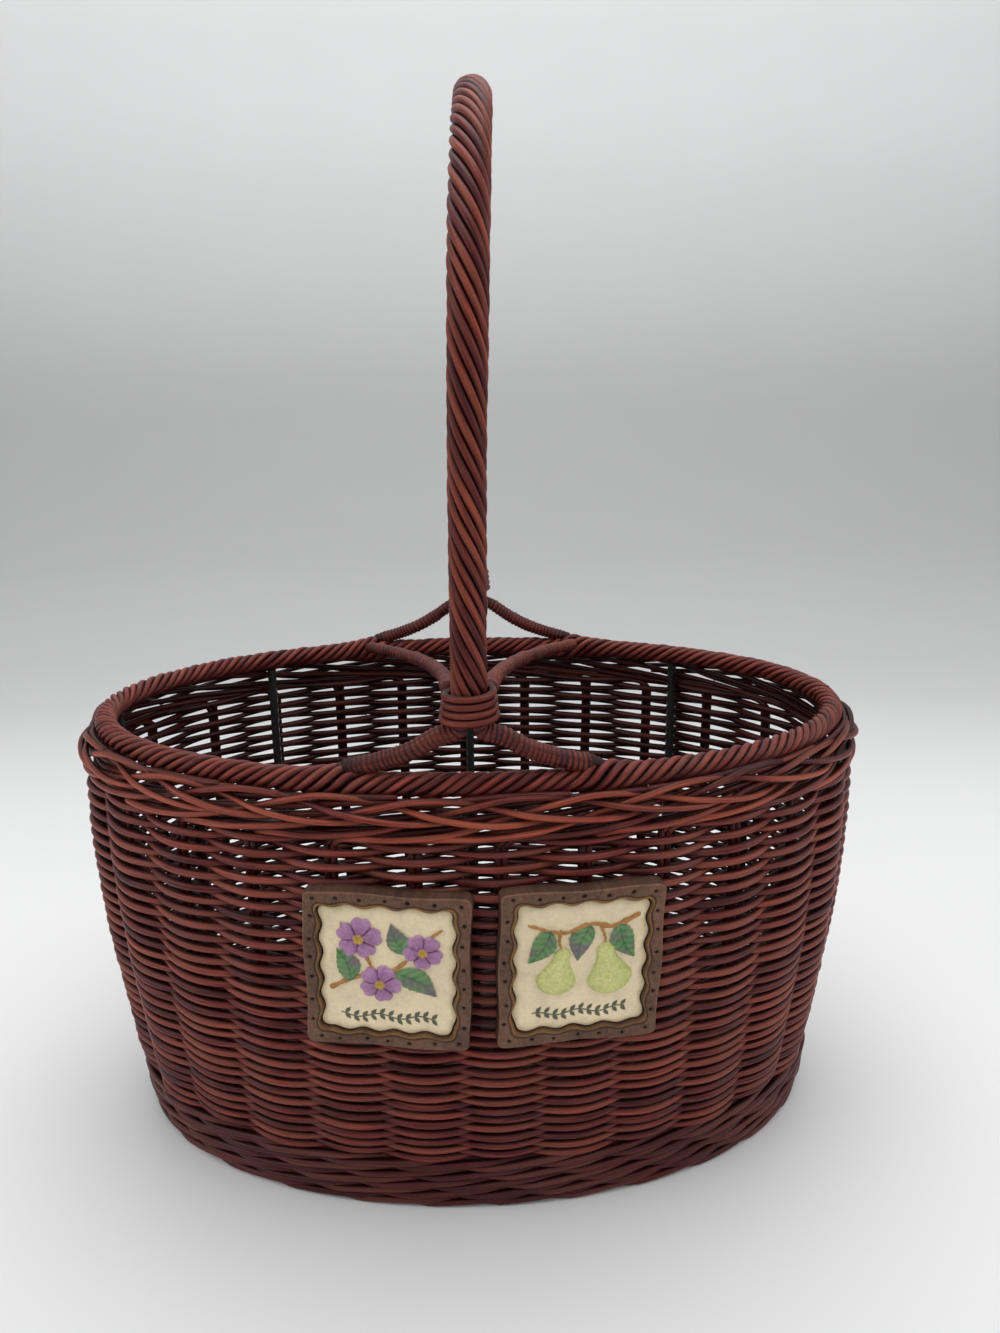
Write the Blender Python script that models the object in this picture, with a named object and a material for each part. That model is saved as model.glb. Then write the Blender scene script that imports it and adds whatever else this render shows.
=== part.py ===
"""Oval wicker wine basket: metres, +Z up, the front towards -Y, resting on z = 0.

Everything is placed from one oval, the centreline of the rim rope. A piece's plan is that oval moved
out or in by an offset, so one change of length or width carries the whole basket with it.
"""

import bpy
import bmesh
import math
import numpy as np
from mathutils import Matrix, Vector

# Overall sizes
rim_half_length = 0.1645        # rope centreline, along X
rim_half_width = 0.1015         # rope centreline, along Y
rope_height = 0.193             # rope centreline above the floor
arch_top = 0.4405               # centreline of the handle at its highest
gap = 0.0003                    # between one piece and the next
overrun = 0.002                 # how far a cutter passes the face it opens

# Wall: how far its outer skin stands out from the rim oval, from the bottom up
wall_offsets = (-0.0002, 0.0033, 0.0063, 0.0093, 0.0110, 0.0116, 0.0108)
wall_height_shares = (0.0, 0.155, 0.328, 0.508, 0.687, 0.860, 1.0)
wall_rod = 0.0030               # thickness of a woven rod
rod_swing = 0.0031              # how far a rod passes to each side of the stakes' line
swing_power = 0.78              # 1 is an even wave, less is rounder over the stakes
wall_thick = wall_rod + 2.0 * rod_swing

# Stakes: the rods that stand upright in the wall
stake_count = 26
stake_creep_shares = (0.5, 0.24, -0.055)    # of the space between two stakes, see stake_share

# Foot: three rows of waling under the wall
wale_rows = 3
wale_tall = 0.0049
wale_thick = 0.0092
wale_swell = 0.0007
wale_edge_share = 0.28          # of its height, eased at the outer edges
wale_slant = 0.5                # of one swell, over the row's height
wale_foot_offset = -0.0029      # outer edge of the lowest row
wale_step_out = 0.0011          # each row stands this much further out than the one below

# Base
base_bottom = 0.0035
base_thick = 0.0050
base_swing = 0.0011             # how far its rods pass over and under the sticks' level
base_core_shares = (0.434, 0.03)    # length and width of its flat middle against the whole

# Rolled border outside the rim
border_out = 0.0123
border_in = 0.0040
border_tall = 0.0196
border_below_rope = 0.0012      # its top lies this much lower than the middle of the rope, outside it
border_swell = 0.0008
border_slant = -0.8             # of one swell, over the border's height
border_ease = 0.0026            # how far its outer corners are rounded off
border_slope = 0.0042           # how far its top slopes down towards the rope, measured across

# Rim rope, a bundle of rods twisted round a wire hoop
rope_radius = 0.0047
rope_strands = 6
rope_lay = 0.033                # length of one full turn
rope_valley_share = 0.80
hoop_radius = 0.0020
hoop_bore = 0.0025
hoop_steps = 44
rope_steps_per_turn = 5

# Handle
handle_radius = 0.0068
handle_strands = 10
handle_lay = 0.070
handle_valley_share = 0.86
core_radius = 0.0031
core_bore = 0.0036
arch_spring_share = 0.455       # of its height above the collars, where it starts to curve
arch_power = 2.15               # 2 is an ellipse, more is squarer
handle_lean = 0.0045            # how far the top stands to +X of the feet
handle_steps_per_turn = 6
core_steps = 28

# Collars: one rod wound round each foot of the handle, wider at the bottom where the legs spread
front_collar_above_rope = 0.0309    # from the rope's centreline to the middle of the collar
back_collar_above_rope = 0.0370
collar_turns = 4
collar_rod_radius = 0.0012
collar_pitch = 0.00285
collar_room = 0.0005            # between the handle and the winding at its top
front_collar_flare = 0.0015     # how much further out its lowest turn lies than its top one
back_collar_flare = 0.0010
collar_steps = 16               # points in one turn

# Legs from the collars to the rim, and braces to the far side
front_leg_radius = 0.00365
back_leg_radius = 0.0033
brace_radius = 0.0028
front_leg_spread = 0.0415
back_leg_spread = 0.0485
brace_spread = 0.0570
leg_in_collar = 0.0040          # from the handle's plane to a leg's axis inside a collar
leg_below_foot = 0.0032         # from the handle's foot down to where a leg starts
leg_above_hoop = 0.0013         # between the hoop and the leg's underside, where it ends
front_leg_out_shares = (0.021, 0.064, 0.120, 0.184, 0.280, 0.411, 0.560, 0.709, 0.853)
front_leg_drop_shares = (0.065, 0.123, 0.161, 0.206, 0.323, 0.523, 0.684, 0.813, 0.923)
back_leg_out_shares = (0.018, 0.049, 0.108, 0.180, 0.270, 0.389, 0.575, 0.764, 0.888)
back_leg_drop_shares = (0.053, 0.106, 0.163, 0.235, 0.364, 0.526, 0.727, 0.871, 0.943)
rope_break_inside = 0.0075      # from a leg's end to the rope on the side it comes from
rope_break_outside = 0.0030
brace_start_x = 0.0078
brace_above_collar = 0.0035     # from a collar's middle to where a brace meets one of its turns
brace_end_above_rope = 0.0035
brace_along_shares = (0.0, 0.17, 0.34, 0.51, 0.68, 0.85, 1.0)
brace_out_shares = (0.0, 0.04, 0.13, 0.26, 0.45, 0.71, 1.0)
arm_points = 15
foot_in_collar = 0.0055         # how far the handle's foot reaches below the collar's middle

# Frame wires up the inside of the wall, at these shares of the way round
upright_round_shares = (0.0, 0.1177, 0.2525, 0.382, 0.5, 0.6176, 0.75, 0.8824)
upright_radius = 0.0023
upright_seat = 0.0012           # room under its slanting end

# Plaques
plaque_width = 0.0620
plaque_tall = 0.0655
plaque_thick = 0.0060
plaque_border = 0.0058
plaque_round = 0.0008
plaque_wave = 0.0005
plaque_corner = 0.0040
plaque_recess = 0.0014
plaque_height_share = 0.703     # of the wall's height, where its middle hangs
left_plaque_x = -0.0300
right_plaque_x = 0.0375
plaque_lean = 3.0               # degrees, top towards the front
plaque_turns = (-1.7, -1.0)     # degrees in its own plane, left and right
plaque_waves = (1.5, 2.0)       # in one side's length, left and right
outline_points = 36

WICKER = (0.155, 0.034, 0.028, 1.0)
WICKER_DARK = (0.085, 0.022, 0.020, 1.0)
WICKER_RED = (0.215, 0.046, 0.030, 1.0)
BLACK = (0.012, 0.011, 0.011, 1.0)
RESIN_BROWN = (0.110, 0.062, 0.038, 1.0)
RESIN_CREAM = (0.760, 0.660, 0.450, 1.0)

border_top = rope_height - border_below_rope
border_bottom = border_top - border_tall
wall_top = border_bottom - gap
wall_bottom = wale_rows * (wale_tall + gap)
wall_tall = wall_top - wall_bottom
wall_skin = [(offset, wall_bottom + share * wall_tall)
             for offset, share in zip(wall_offsets, wall_height_shares)]
front_collar_height = rope_height + front_collar_above_rope
back_collar_height = rope_height + back_collar_above_rope
brace_start_height = front_collar_height + brace_above_collar
arch_spring = front_collar_height + (arch_top - front_collar_height) * arch_spring_share
plaque_height = wall_bottom + wall_tall * plaque_height_share


def clear_scene():
    for obj in list(bpy.data.objects):
        bpy.data.objects.remove(obj, do_unlink=True)


def collection(name):
    made = bpy.data.collections.new(name)
    bpy.context.scene.collection.children.link(made)
    return made


def helper(obj):
    """A cutter or a profile: kept out of the object itself."""
    obj.hide_render = True
    obj.display_type = "WIRE"
    return obj


def finish(name, data, colour, roughness, metallic=0.0, where=None):
    """Links a mesh or a curve as one named piece with its own material."""
    obj = bpy.data.objects.new(name, data)
    (where or basket).objects.link(obj)
    material = bpy.data.materials.new(name)
    material.use_nodes = True
    shader = material.node_tree.nodes["Principled BSDF"]
    shader.inputs["Base Color"].default_value = colour
    shader.inputs["Roughness"].default_value = roughness
    shader.inputs["Metallic"].default_value = metallic
    data.materials.append(material)
    return obj


# Points of the oval, evenly spaced along its length
def _arc_table():
    angle = np.linspace(0.0, 2.0 * math.pi, 7201)
    x = rim_half_length * np.cos(angle)
    y = rim_half_width * np.sin(angle)
    run = np.concatenate([[0.0], np.cumsum(np.hypot(np.diff(x), np.diff(y)))])
    return angle, run


_ANGLE, _RUN = _arc_table()
oval_length = float(_RUN[-1])


def angle_at(share):
    """The oval's angle at this share of its length, counted from +X towards +Y."""
    return float(np.interp((share % 1.0) * oval_length, _RUN, _ANGLE))


def share_at(angle):
    return float(np.interp(angle % (2.0 * math.pi), _ANGLE, _RUN)) / oval_length


def share_at_x(x, side):
    """Where on the oval the point with this x lies, on the front (-1) or the back (1)."""
    angle = math.acos(x / rim_half_length)
    return share_at(angle if side > 0 else 2.0 * math.pi - angle)


def on_oval(share, offset, z):
    """The oval's point, moved out square to it by the offset."""
    angle = angle_at(share)
    normal = Vector((math.cos(angle) * rim_half_width, math.sin(angle) * rim_half_length)).normalized()
    return Vector((rim_half_length * math.cos(angle) + normal.x * offset,
                   rim_half_width * math.sin(angle) + normal.y * offset, z))


def skin_offset(z):
    """The wall's outer skin at this height."""
    return float(np.interp(z, [h for _, h in wall_skin], [o for o, _ in wall_skin]))


def stake_share(number):
    """Where on the oval a stake stands: first one past the right-hand end, and a little closer together
    along the front than along the back. Halves and quarters lie between two stakes."""
    first, front, back = stake_creep_shares
    angle = 2.0 * math.pi * number / stake_count
    return (number + first + front * (1.0 - math.cos(angle)) + back * math.sin(angle)) / stake_count


def stake_number(share):
    """The stake's number at this share of the oval, a fraction between two stakes."""
    quarters = [i / 4.0 for i in range(-4, 4 * stake_count + 4)]
    return float(np.interp(share, [stake_share(number) for number in quarters], quarters))


# Builders
def oval_ring(name, profile_at, per_stake, colour, roughness):
    """A closed ring lofted round the oval. profile_at(number) is its section, as (offset, z) pairs going
    anticlockwise along the run, at that many places for each stake."""
    bm = bmesh.new()
    rings = []
    for column in range(stake_count * per_stake):
        number = column / per_stake
        share = stake_share(number)
        rings.append([bm.verts.new(on_oval(share, offset, z)) for offset, z in profile_at(number)])
    count = len(rings[0])
    for i, a in enumerate(rings):
        b = rings[(i + 1) % len(rings)]
        for j in range(count):
            k = (j + 1) % count
            bm.faces.new((a[j], b[j], b[k], a[k]))
    bmesh.ops.recalc_face_normals(bm, faces=bm.faces)
    mesh = bpy.data.meshes.new(name)
    bm.to_mesh(mesh)
    bm.free()
    mesh.shade_smooth()
    return finish(name, mesh, colour, roughness)


def swelling(profile, swell, slant):
    """The same profile all the way round, but standing out past each stake by the swell, which leans by
    the slant, a share of the space between stakes, from the bottom of the profile to its top."""
    low, high = min(z for _, z in profile), max(z for _, z in profile)
    middle = sum(o for o, _ in profile) / len(profile)

    def profile_at(number):
        leans = [number + slant * (z - low) / (high - low) for _, z in profile]
        return [(offset + (swell * math.cos(2.0 * math.pi * lean) if offset > middle else 0.0), z)
                for lean, (offset, z) in zip(leans, profile)]
    return profile_at


def drawn_in(number, swing):
    """How far both faces of a weave are drawn in from where they stand at a stake."""
    return swing * (1.0 - abs(math.cos(math.pi * number)) ** swing_power)


def weave_at(number):
    """The wall's section: its rods swing past the stakes' line and back, so it is thick at each stake and
    thin half way between two."""
    drawn = drawn_in(number, rod_swing)
    outside = [(offset - drawn, z) for offset, z in wall_skin]
    inside = [(offset - wall_thick + drawn, z) for offset, z in wall_skin]
    return [*outside, *reversed(inside)]


def woven_floor(name, offset, bottom, thick, colour, roughness):
    """A floor, thick over each stick and thin between, its sticks running in to a narrow flat middle."""
    bm = bmesh.new()
    rings = []
    for column in range(stake_count * 2):
        number = column / 2.0
        edge = on_oval(stake_share(number), offset, 0.0).to_2d()
        core = [v * share for v, share in zip(edge, base_core_shares)]
        drawn = drawn_in(number, base_swing)
        section = ((core, bottom), (edge, bottom + drawn),
                   (edge, bottom + thick - drawn), (core, bottom + thick))
        rings.append([bm.verts.new((*place, z)) for place, z in section])
    for i, a in enumerate(rings):
        b = rings[(i + 1) % len(rings)]
        for j in range(len(a) - 1):
            bm.faces.new((a[j], b[j], b[j + 1], a[j + 1]))
    for end in (0, -1):
        bm.faces.new([ring[end] for ring in rings])
    bmesh.ops.recalc_face_normals(bm, faces=bm.faces)
    mesh = bpy.data.meshes.new(name)
    bm.to_mesh(mesh)
    bm.free()
    return finish(name, mesh, colour, roughness)


def spline_curve(name, points, closed=False, tilts=None):
    data = bpy.data.curves.new(name, "CURVE")
    data.dimensions = "3D"
    spline = data.splines.new("POLY")
    spline.points.add(len(points) - 1)
    for i, point in enumerate(points):
        spline.points[i].co = (*point, 1.0)
        spline.points[i].tilt = tilts[i] if tilts else 0.0
    spline.use_cyclic_u = closed
    spline.use_smooth = True
    return data


def rod(name, points, radius, colour, roughness, metallic=0.0, closed=False, sides=8, where=None):
    """A round bar along the points."""
    data = spline_curve(name, points, closed)
    data.bevel_depth = radius
    data.bevel_resolution = max(sides // 2 - 2, 0)
    data.use_fill_caps = not closed
    return finish(name, data, colour, roughness, metallic, where)


def star(name, strands, radius, valley_share, points_each=2):
    """The section of a bundle of rods: a ridge for each rod and a valley between."""
    data = bpy.data.curves.new(name, "CURVE")
    data.dimensions = "2D"
    data.fill_mode = "NONE"
    spline = data.splines.new("POLY")
    total = strands * points_each
    spline.points.add(total - 1)
    for j in range(total):
        size = radius if j % points_each else radius * valley_share
        angle = 2.0 * math.pi * j / total
        spline.points[j].co = (size * math.cos(angle), size * math.sin(angle), 0.0, 1.0)
    spline.use_cyclic_u = True
    obj = bpy.data.objects.new(name, data)
    guides.objects.link(obj)
    return helper(obj)


def as_mesh(obj):
    """The object's evaluated shape as a mesh object of the same name and material."""
    graph = bpy.context.evaluated_depsgraph_get()
    mesh = bpy.data.meshes.new_from_object(obj.evaluated_get(graph))
    bm = bmesh.new()
    bm.from_mesh(mesh)
    bmesh.ops.remove_doubles(bm, verts=bm.verts, dist=1e-6)
    bmesh.ops.recalc_face_normals(bm, faces=bm.faces)
    bm.to_mesh(mesh)
    bm.free()
    name, where, materials = obj.name, obj.users_collection[0], list(obj.data.materials)
    bpy.data.objects.remove(obj, do_unlink=True)
    mesh.materials.clear()
    for material in materials:
        mesh.materials.append(material)
    made = bpy.data.objects.new(name, mesh)
    where.objects.link(made)
    mesh.shade_smooth()
    return made


def bore(obj, points, radius, sides=8):
    """Cuts a round channel along the points, open at both ends."""
    first, last = Vector(points[0]), Vector(points[-1])
    start = first + (first - Vector(points[1])).normalized() * overrun
    end = last + (last - Vector(points[-2])).normalized() * overrun
    line = [start, *points[1:-1], end]
    cutter = rod("cut_" + obj.name, line, radius, BLACK, 0.5, sides=sides, where=guides)
    cutter = helper(as_mesh(cutter))
    cut = obj.modifiers.new("channel", "BOOLEAN")
    cut.operation = "DIFFERENCE"
    cut.solver = "EXACT"
    cut.object = cutter
    return obj


def twisted(name, points, section, lay, colour, roughness, mode="MINIMUM"):
    """A left-handed bundle along evenly spaced points."""
    run = [0.0]
    for a, b in zip(points, points[1:]):
        run.append(run[-1] + (Vector(b) - Vector(a)).length)
    data = spline_curve(name, points, tilts=[-2.0 * math.pi * d / lay for d in run])
    data.twist_mode = mode
    data.bevel_mode = "OBJECT"
    data.bevel_object = section
    data.use_fill_caps = True
    return as_mesh(finish(name, data, colour, roughness))


clear_scene()
basket = collection("wine_basket")
guides = collection("guides")


# Base, foot and wall
row_offsets = [wale_foot_offset + i * wale_step_out for i in range(wale_rows)]
for i, outer in enumerate(row_offsets):
    low = i * (wale_tall + gap)
    high = low + wale_tall
    inner = outer - wale_thick
    edge = wale_tall * wale_edge_share
    oval_ring("foot_wale_%d" % (i + 1),
              swelling([(inner, low), (outer - edge, low), (outer, low + edge), (outer, high - edge),
                        (outer - edge, high), (inner, high)], wale_swell, wale_slant * (-1) ** i),
              3, WICKER_DARK, 0.55)

base_offset = row_offsets[0] - wale_thick - gap * 2.0
woven_floor("base_panel", base_offset, base_bottom, base_thick, WICKER_DARK, 0.6)

oval_ring("side_wall", weave_at, 4, WICKER, 0.5)


# Rolled border
border_seat = rope_height - math.sqrt((rope_radius + gap * 2.0) ** 2 - border_in ** 2)
border_profile = [
    (border_in, border_bottom), (border_out - border_ease, border_bottom),
    (border_out, border_bottom + border_ease * 2.0), (border_out, border_top - border_ease * 2.0),
    (border_out - border_ease / 2.0, border_top - border_ease / 2.0),
    (border_in + border_slope, border_top), (border_in, border_seat)]
oval_ring("rolled_border", swelling(border_profile, border_swell, border_slant), 3, WICKER_RED, 0.45)


# Wire frame: a hoop inside the rope, and uprights on the wall's inner face
hoop_points = [on_oval(i / hoop_steps, 0.0, rope_height) for i in range(hoop_steps)]
rod("rim_hoop", hoop_points, hoop_radius, BLACK, 0.4, metallic=0.6, closed=True)

upright_gap = gap * 2.0
upright_top = rope_height - rope_radius - gap
upright_low = base_bottom + base_thick + upright_seat
border_limit = border_in - upright_radius - gap * 3.0
heights = [upright_low] + [h for _, h in wall_skin[1:]] + [upright_top]
stake_space = oval_length / stake_count
for i, share in enumerate(upright_round_shares):
    number = stake_number(share)
    hollow = min(drawn_in(number + way * upright_radius / stake_space, rod_swing) for way in (-1, 0, 1))
    path = []
    for z in heights:
        clear = skin_offset(z) - wall_thick + hollow - upright_radius - upright_gap
        if z < wall_skin[0][1]:
            clear = base_offset - upright_radius
        path.append(on_oval(share, min(clear, border_limit), z))
    rod("frame_upright_%d" % (i + 1), path, upright_radius, BLACK, 0.4, metallic=0.6, sides=6)


# Rim rope in four lengths, parted where the legs of the handle come down
rope_section = star("rope_section", rope_strands, rope_radius, rope_valley_share)


def rope_length(name, start, end):
    """From one share of the oval to another, anticlockwise from above."""
    if end < start:
        end += 1.0
    length = (end - start) * oval_length
    count = max(int(length / rope_lay * rope_steps_per_turn), 8)
    line = [on_oval(start + (end - start) * i / count, 0.0, rope_height) for i in range(count + 1)]
    obj = twisted(name, line, rope_section, rope_lay, WICKER, 0.45, mode="Z_UP")
    inner = [start] + [i / hoop_steps for i in range(math.ceil(start * hoop_steps + 0.2),
                                                     math.floor(end * hoop_steps - 0.2) + 1)] + [end]
    return bore(obj, [on_oval(s, 0.0, rope_height) for s in inner], hoop_bore)


rope_length("rim_rope_front", share_at_x(-front_leg_spread + rope_break_inside, -1),
            share_at_x(front_leg_spread - rope_break_inside, -1))
rope_length("rim_rope_right", share_at_x(front_leg_spread + rope_break_outside, -1),
            share_at_x(back_leg_spread + rope_break_outside, 1))
rope_length("rim_rope_back", share_at_x(back_leg_spread - rope_break_inside, 1),
            share_at_x(-back_leg_spread + rope_break_inside, 1))
rope_length("rim_rope_left", share_at_x(-back_leg_spread - rope_break_outside, 1),
            share_at_x(-front_leg_spread - rope_break_outside, -1))


# Handle: a core rod with ten rods twisted round it
front_foot = front_collar_height - foot_in_collar
back_foot = back_collar_height - foot_in_collar


def arch(count):
    """Evenly spaced points from the front foot over the top to the back foot, and their length."""
    fine = [(-rim_half_width, front_foot), (-rim_half_width, arch_spring)]
    for i in range(1, 240):
        angle = math.pi * i / 240
        c, s = math.cos(angle), math.sin(angle)
        fine.append((-rim_half_width * math.copysign(abs(c) ** (2.0 / arch_power), c),
                     arch_spring + (arch_top - arch_spring) * s ** (2.0 / arch_power)))
    fine += [(rim_half_width, arch_spring), (rim_half_width, back_foot)]
    fine = np.array(fine)
    run = np.concatenate([[0.0], np.cumsum(np.hypot(*np.diff(fine, axis=0).T))])
    at = np.linspace(0.0, run[-1], count + 1)
    y, z = np.interp(at, run, fine[:, 0]), np.interp(at, run, fine[:, 1])
    rise = (z - front_collar_height) / (arch_top - front_collar_height)
    return [Vector((handle_lean * max(r, 0.0) ** 2, a, b)) for r, a, b in zip(rise, y, z)], run[-1]


_, arch_length = arch(core_steps)
handle_line, _ = arch(int(arch_length / handle_lay * handle_steps_per_turn))
handle_section = star("handle_section", handle_strands, handle_radius, handle_valley_share)
handle = twisted("handle_twist", handle_line, handle_section, handle_lay, WICKER, 0.42)
core_line, _ = arch(core_steps)
bore(handle, core_line, core_bore)
rod("handle_core", core_line, core_radius, WICKER_DARK, 0.6)


# Collars, each one unbroken rod wound tight round the foot
def winding(flare, along):
    """The rod's distance from the middle of a collar, this share of the way up it."""
    return handle_radius + collar_room + collar_rod_radius + flare * (1.0 - min(max(along, 0.0), 1.0))


def collar(name, y, height, flare):
    """A winding from the bottom up, which starts and ends at the back."""
    count = collar_turns * collar_steps
    tall = collar_turns * collar_pitch
    points = []
    for i in range(count + 1):
        along = i / count
        angle = 2.0 * math.pi * i / collar_steps + math.pi / 2.0
        out = winding(flare, along)
        points.append(Vector((out * math.cos(angle), y + out * math.sin(angle),
                              height + tall * (along - 0.5))))
    least = min((points[i + collar_steps] - points[i]).length for i in range(count + 1 - collar_steps))
    print(name, "least gap to itself %.2f mm" % ((least - 2.0 * collar_rod_radius) * 1000.0))
    rod(name, points, collar_rod_radius, WICKER, 0.45, sides=6)


def clear_of_collar(flare, x, above, radius):
    """How far behind the handle's axis the flat end of a bar has to stay, to clear the winding."""
    reach = 0.0
    for i in range(collar_steps):
        angle = 2.0 * math.pi * i / collar_steps
        across, up = x + radius * math.cos(angle), above + radius * math.sin(angle)
        outside = winding(flare, 0.5 + up / (collar_turns * collar_pitch)) + collar_rod_radius
        reach = max(reach, math.sqrt(max(outside ** 2 - across ** 2, 0.0)))
    return reach


collar("front_collar", -rim_half_width, front_collar_height, front_collar_flare)
collar("back_collar", rim_half_width, back_collar_height, back_collar_flare)


# Legs: out of the collar's bore, down and outwards, into the break in the rope
def smooth(points, count):
    """Points evenly spaced along a smooth line through the given ones."""
    p = [Vector(v) for v in points]
    p = [p[0] * 2.0 - p[1]] + p + [p[-1] * 2.0 - p[-2]]
    fine = []
    for i in range(1, len(p) - 2):
        for s in range(16):
            t = s / 16.0
            fine.append(0.5 * ((2.0 * p[i]) + (p[i + 1] - p[i - 1]) * t
                               + (2.0 * p[i - 1] - 5.0 * p[i] + 4.0 * p[i + 1] - p[i + 2]) * t * t
                               + (3.0 * p[i] - p[i - 1] - 3.0 * p[i + 1] + p[i + 2]) * t ** 3))
    fine.append(p[-2])
    run = np.concatenate([[0.0], np.cumsum([(b - a).length for a, b in zip(fine, fine[1:])])])
    at = np.linspace(0.0, run[-1], count + 1)
    return [Vector([float(np.interp(d, run, [v[k] for v in fine])) for k in range(3)]) for d in at]


def leg(name, side, way, foot, spread, radius, outs, drops):
    """side is -1 at the front and 1 at the back, way is -1 to the left and 1 to the right."""
    start = foot - leg_below_foot
    end = rope_height + hoop_radius + leg_above_hoop + radius
    path = []
    for out, drop in zip((0.0, *outs), (0.0, *drops)):
        x = leg_in_collar + (spread - leg_in_collar) * out
        z = start + (end - start) * drop
        path.append((way * x, on_oval(share_at_x(x, side), 0.0, z).y, z))
    path.append((way * spread, on_oval(share_at_x(spread, side), 0.0, end).y, end))
    rod(name, smooth(path, arm_points), radius, WICKER, 0.5)


for way, word in ((-1, "left"), (1, "right")):
    leg("front_leg_" + word, -1, way, front_foot, front_leg_spread, front_leg_radius,
        front_leg_out_shares, front_leg_drop_shares)
    leg("back_leg_" + word, 1, way, back_foot, back_leg_spread, back_leg_radius,
        back_leg_out_shares, back_leg_drop_shares)


# Braces: from the back of the front collar to the inner side of the far rim
brace_end_height = rope_height + brace_end_above_rope
brace_reach = clear_of_collar(front_collar_flare, brace_start_x, brace_above_collar, brace_radius) + gap
brace_inset = rope_radius + brace_radius + gap * 2.0
for way, word in ((-1, "left"), (1, "right")):
    start = Vector((brace_start_x, -rim_half_width + brace_reach))
    end = on_oval(share_at_x(brace_spread, 1), -brace_inset, 0.0)
    path = []
    for along, out in zip(brace_along_shares, brace_out_shares):
        path.append((way * (start.x + (end.x - start.x) * out), start.y + (end.y - start.y) * along,
                     brace_start_height + (brace_end_height - brace_start_height) * along))
    rod("brace_" + word, smooth(path, arm_points), brace_radius, WICKER, 0.5)


# Plaques: a wavy frame with a panel let into it
def wavy(half_x, half_y, corner, wave, waves):
    """A rounded rectangle whose edge runs in and out by the wave."""
    straight_x, straight_y = half_x - corner, half_y - corner
    points = []
    sides = (((half_x, -straight_y), (half_x, straight_y), (straight_x, straight_y), 0.0),
             ((straight_x, half_y), (-straight_x, half_y), (-straight_x, straight_y), 90.0),
             ((-half_x, straight_y), (-half_x, -straight_y), (-straight_x, -straight_y), 180.0),
             ((-straight_x, -half_y), (straight_x, -half_y), (straight_x, -straight_y), 270.0))
    per_side = outline_points // 4
    in_corner = 3
    for (x0, y0), (x1, y1), (cx, cy), facing in sides:
        n = per_side - in_corner
        out = Vector((math.cos(math.radians(facing)), math.sin(math.radians(facing))))
        for i in range(n):
            t = i / n
            move = wave * math.sin(2.0 * math.pi * waves * t) * math.sin(math.pi * t)
            points.append((x0 + (x1 - x0) * t + out.x * move, y0 + (y1 - y0) * t + out.y * move))
        for i in range(in_corner):
            angle = math.radians(facing + 90.0 * i / in_corner)
            points.append((cx + corner * math.cos(angle), cy + corner * math.sin(angle)))
    return points


def slab(name, outlines, thick, rounding, colour, roughness):
    """A flat piece cut to the outlines, its edges eased; the first is the outside, any other an opening."""
    data = bpy.data.curves.new(name, "CURVE")
    data.dimensions = "2D"
    data.fill_mode = "BOTH"
    data.extrude = thick / 2.0 - rounding
    data.bevel_depth = rounding
    data.bevel_resolution = 0
    data.offset = -rounding
    for outline in outlines:
        spline = data.splines.new("POLY")
        spline.points.add(len(outline) - 1)
        for i, (x, y) in enumerate(outline):
            spline.points[i].co = (x, y, 0.0, 1.0)
        spline.use_cyclic_u = True
    return finish(name, data, colour, roughness)


def plaque(word, x, turn, waves):
    share = share_at_x(x, -1)
    normal = on_oval(share, 1.0, 0.0) - on_oval(share, 0.0, 0.0)
    yaw = math.atan2(normal.x, -normal.y)
    stand = max(skin_offset(plaque_height + plaque_tall / 2.0 * k) - math.sin(math.radians(plaque_lean))
                * plaque_tall / 2.0 * k for k in (-1.0, -0.5, 0.0, 0.5, 1.0))
    back = on_oval(share, stand + gap * 2.0, plaque_height)
    place = (Matrix.Translation(back) @ Matrix.Rotation(yaw, 4, "Z")
             @ Matrix.Rotation(math.radians(90.0 + plaque_lean), 4, "X")
             @ Matrix.Rotation(math.radians(turn), 4, "Z"))
    half_x, half_y = plaque_width / 2.0, plaque_tall / 2.0
    frame = slab("plaque_frame_" + word,
                 [wavy(half_x, half_y, plaque_corner, plaque_wave, waves),
                  wavy(half_x - plaque_border, half_y - plaque_border, plaque_corner / 2.0,
                       plaque_wave, waves + 0.5)],
                 plaque_thick, plaque_round, RESIN_BROWN, 0.5)
    frame.matrix_world = place @ Matrix.Translation((0.0, 0.0, plaque_thick / 2.0))
    panel_thick = plaque_thick - plaque_recess
    inset = plaque_border + gap
    panel = slab("plaque_panel_" + word,
                 [wavy(half_x - inset, half_y - inset, plaque_corner / 2.0, plaque_wave, waves + 0.5)],
                 panel_thick, plaque_round / 2.0, RESIN_CREAM, 0.6)
    panel.matrix_world = place @ Matrix.Translation((0.0, 0.0, panel_thick / 2.0))


plaque("left", left_plaque_x, plaque_turns[0], plaque_waves[0])
plaque("right", right_plaque_x, plaque_turns[1], plaque_waves[1])


# The middle of the basket's overall size goes to the origin, on the floor
def overall_middle():
    graph = bpy.context.evaluated_depsgraph_get()
    low, high = Vector((math.inf,) * 3), Vector((-math.inf,) * 3)
    for obj in basket.objects:
        mesh = obj.evaluated_get(graph).to_mesh()
        for vertex in mesh.vertices:
            place = obj.matrix_world @ vertex.co
            low, high = Vector(map(min, low, place)), Vector(map(max, high, place))
        obj.evaluated_get(graph).to_mesh_clear()
    return (low + high) / 2.0


bpy.context.view_layer.update()
middle = overall_middle()
stand = bpy.data.objects.new("stand", None)
basket.objects.link(stand)
for obj in [*basket.objects, *guides.objects]:
    if obj != stand:
        obj.parent = stand
stand.location = (-middle.x, -middle.y, 0.0)
print("the oval's centre lies at", tuple(round(v, 6) for v in stand.location))
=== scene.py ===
import math

import bmesh
import bpy
import numpy as np
from mathutils import Matrix, Vector


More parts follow.
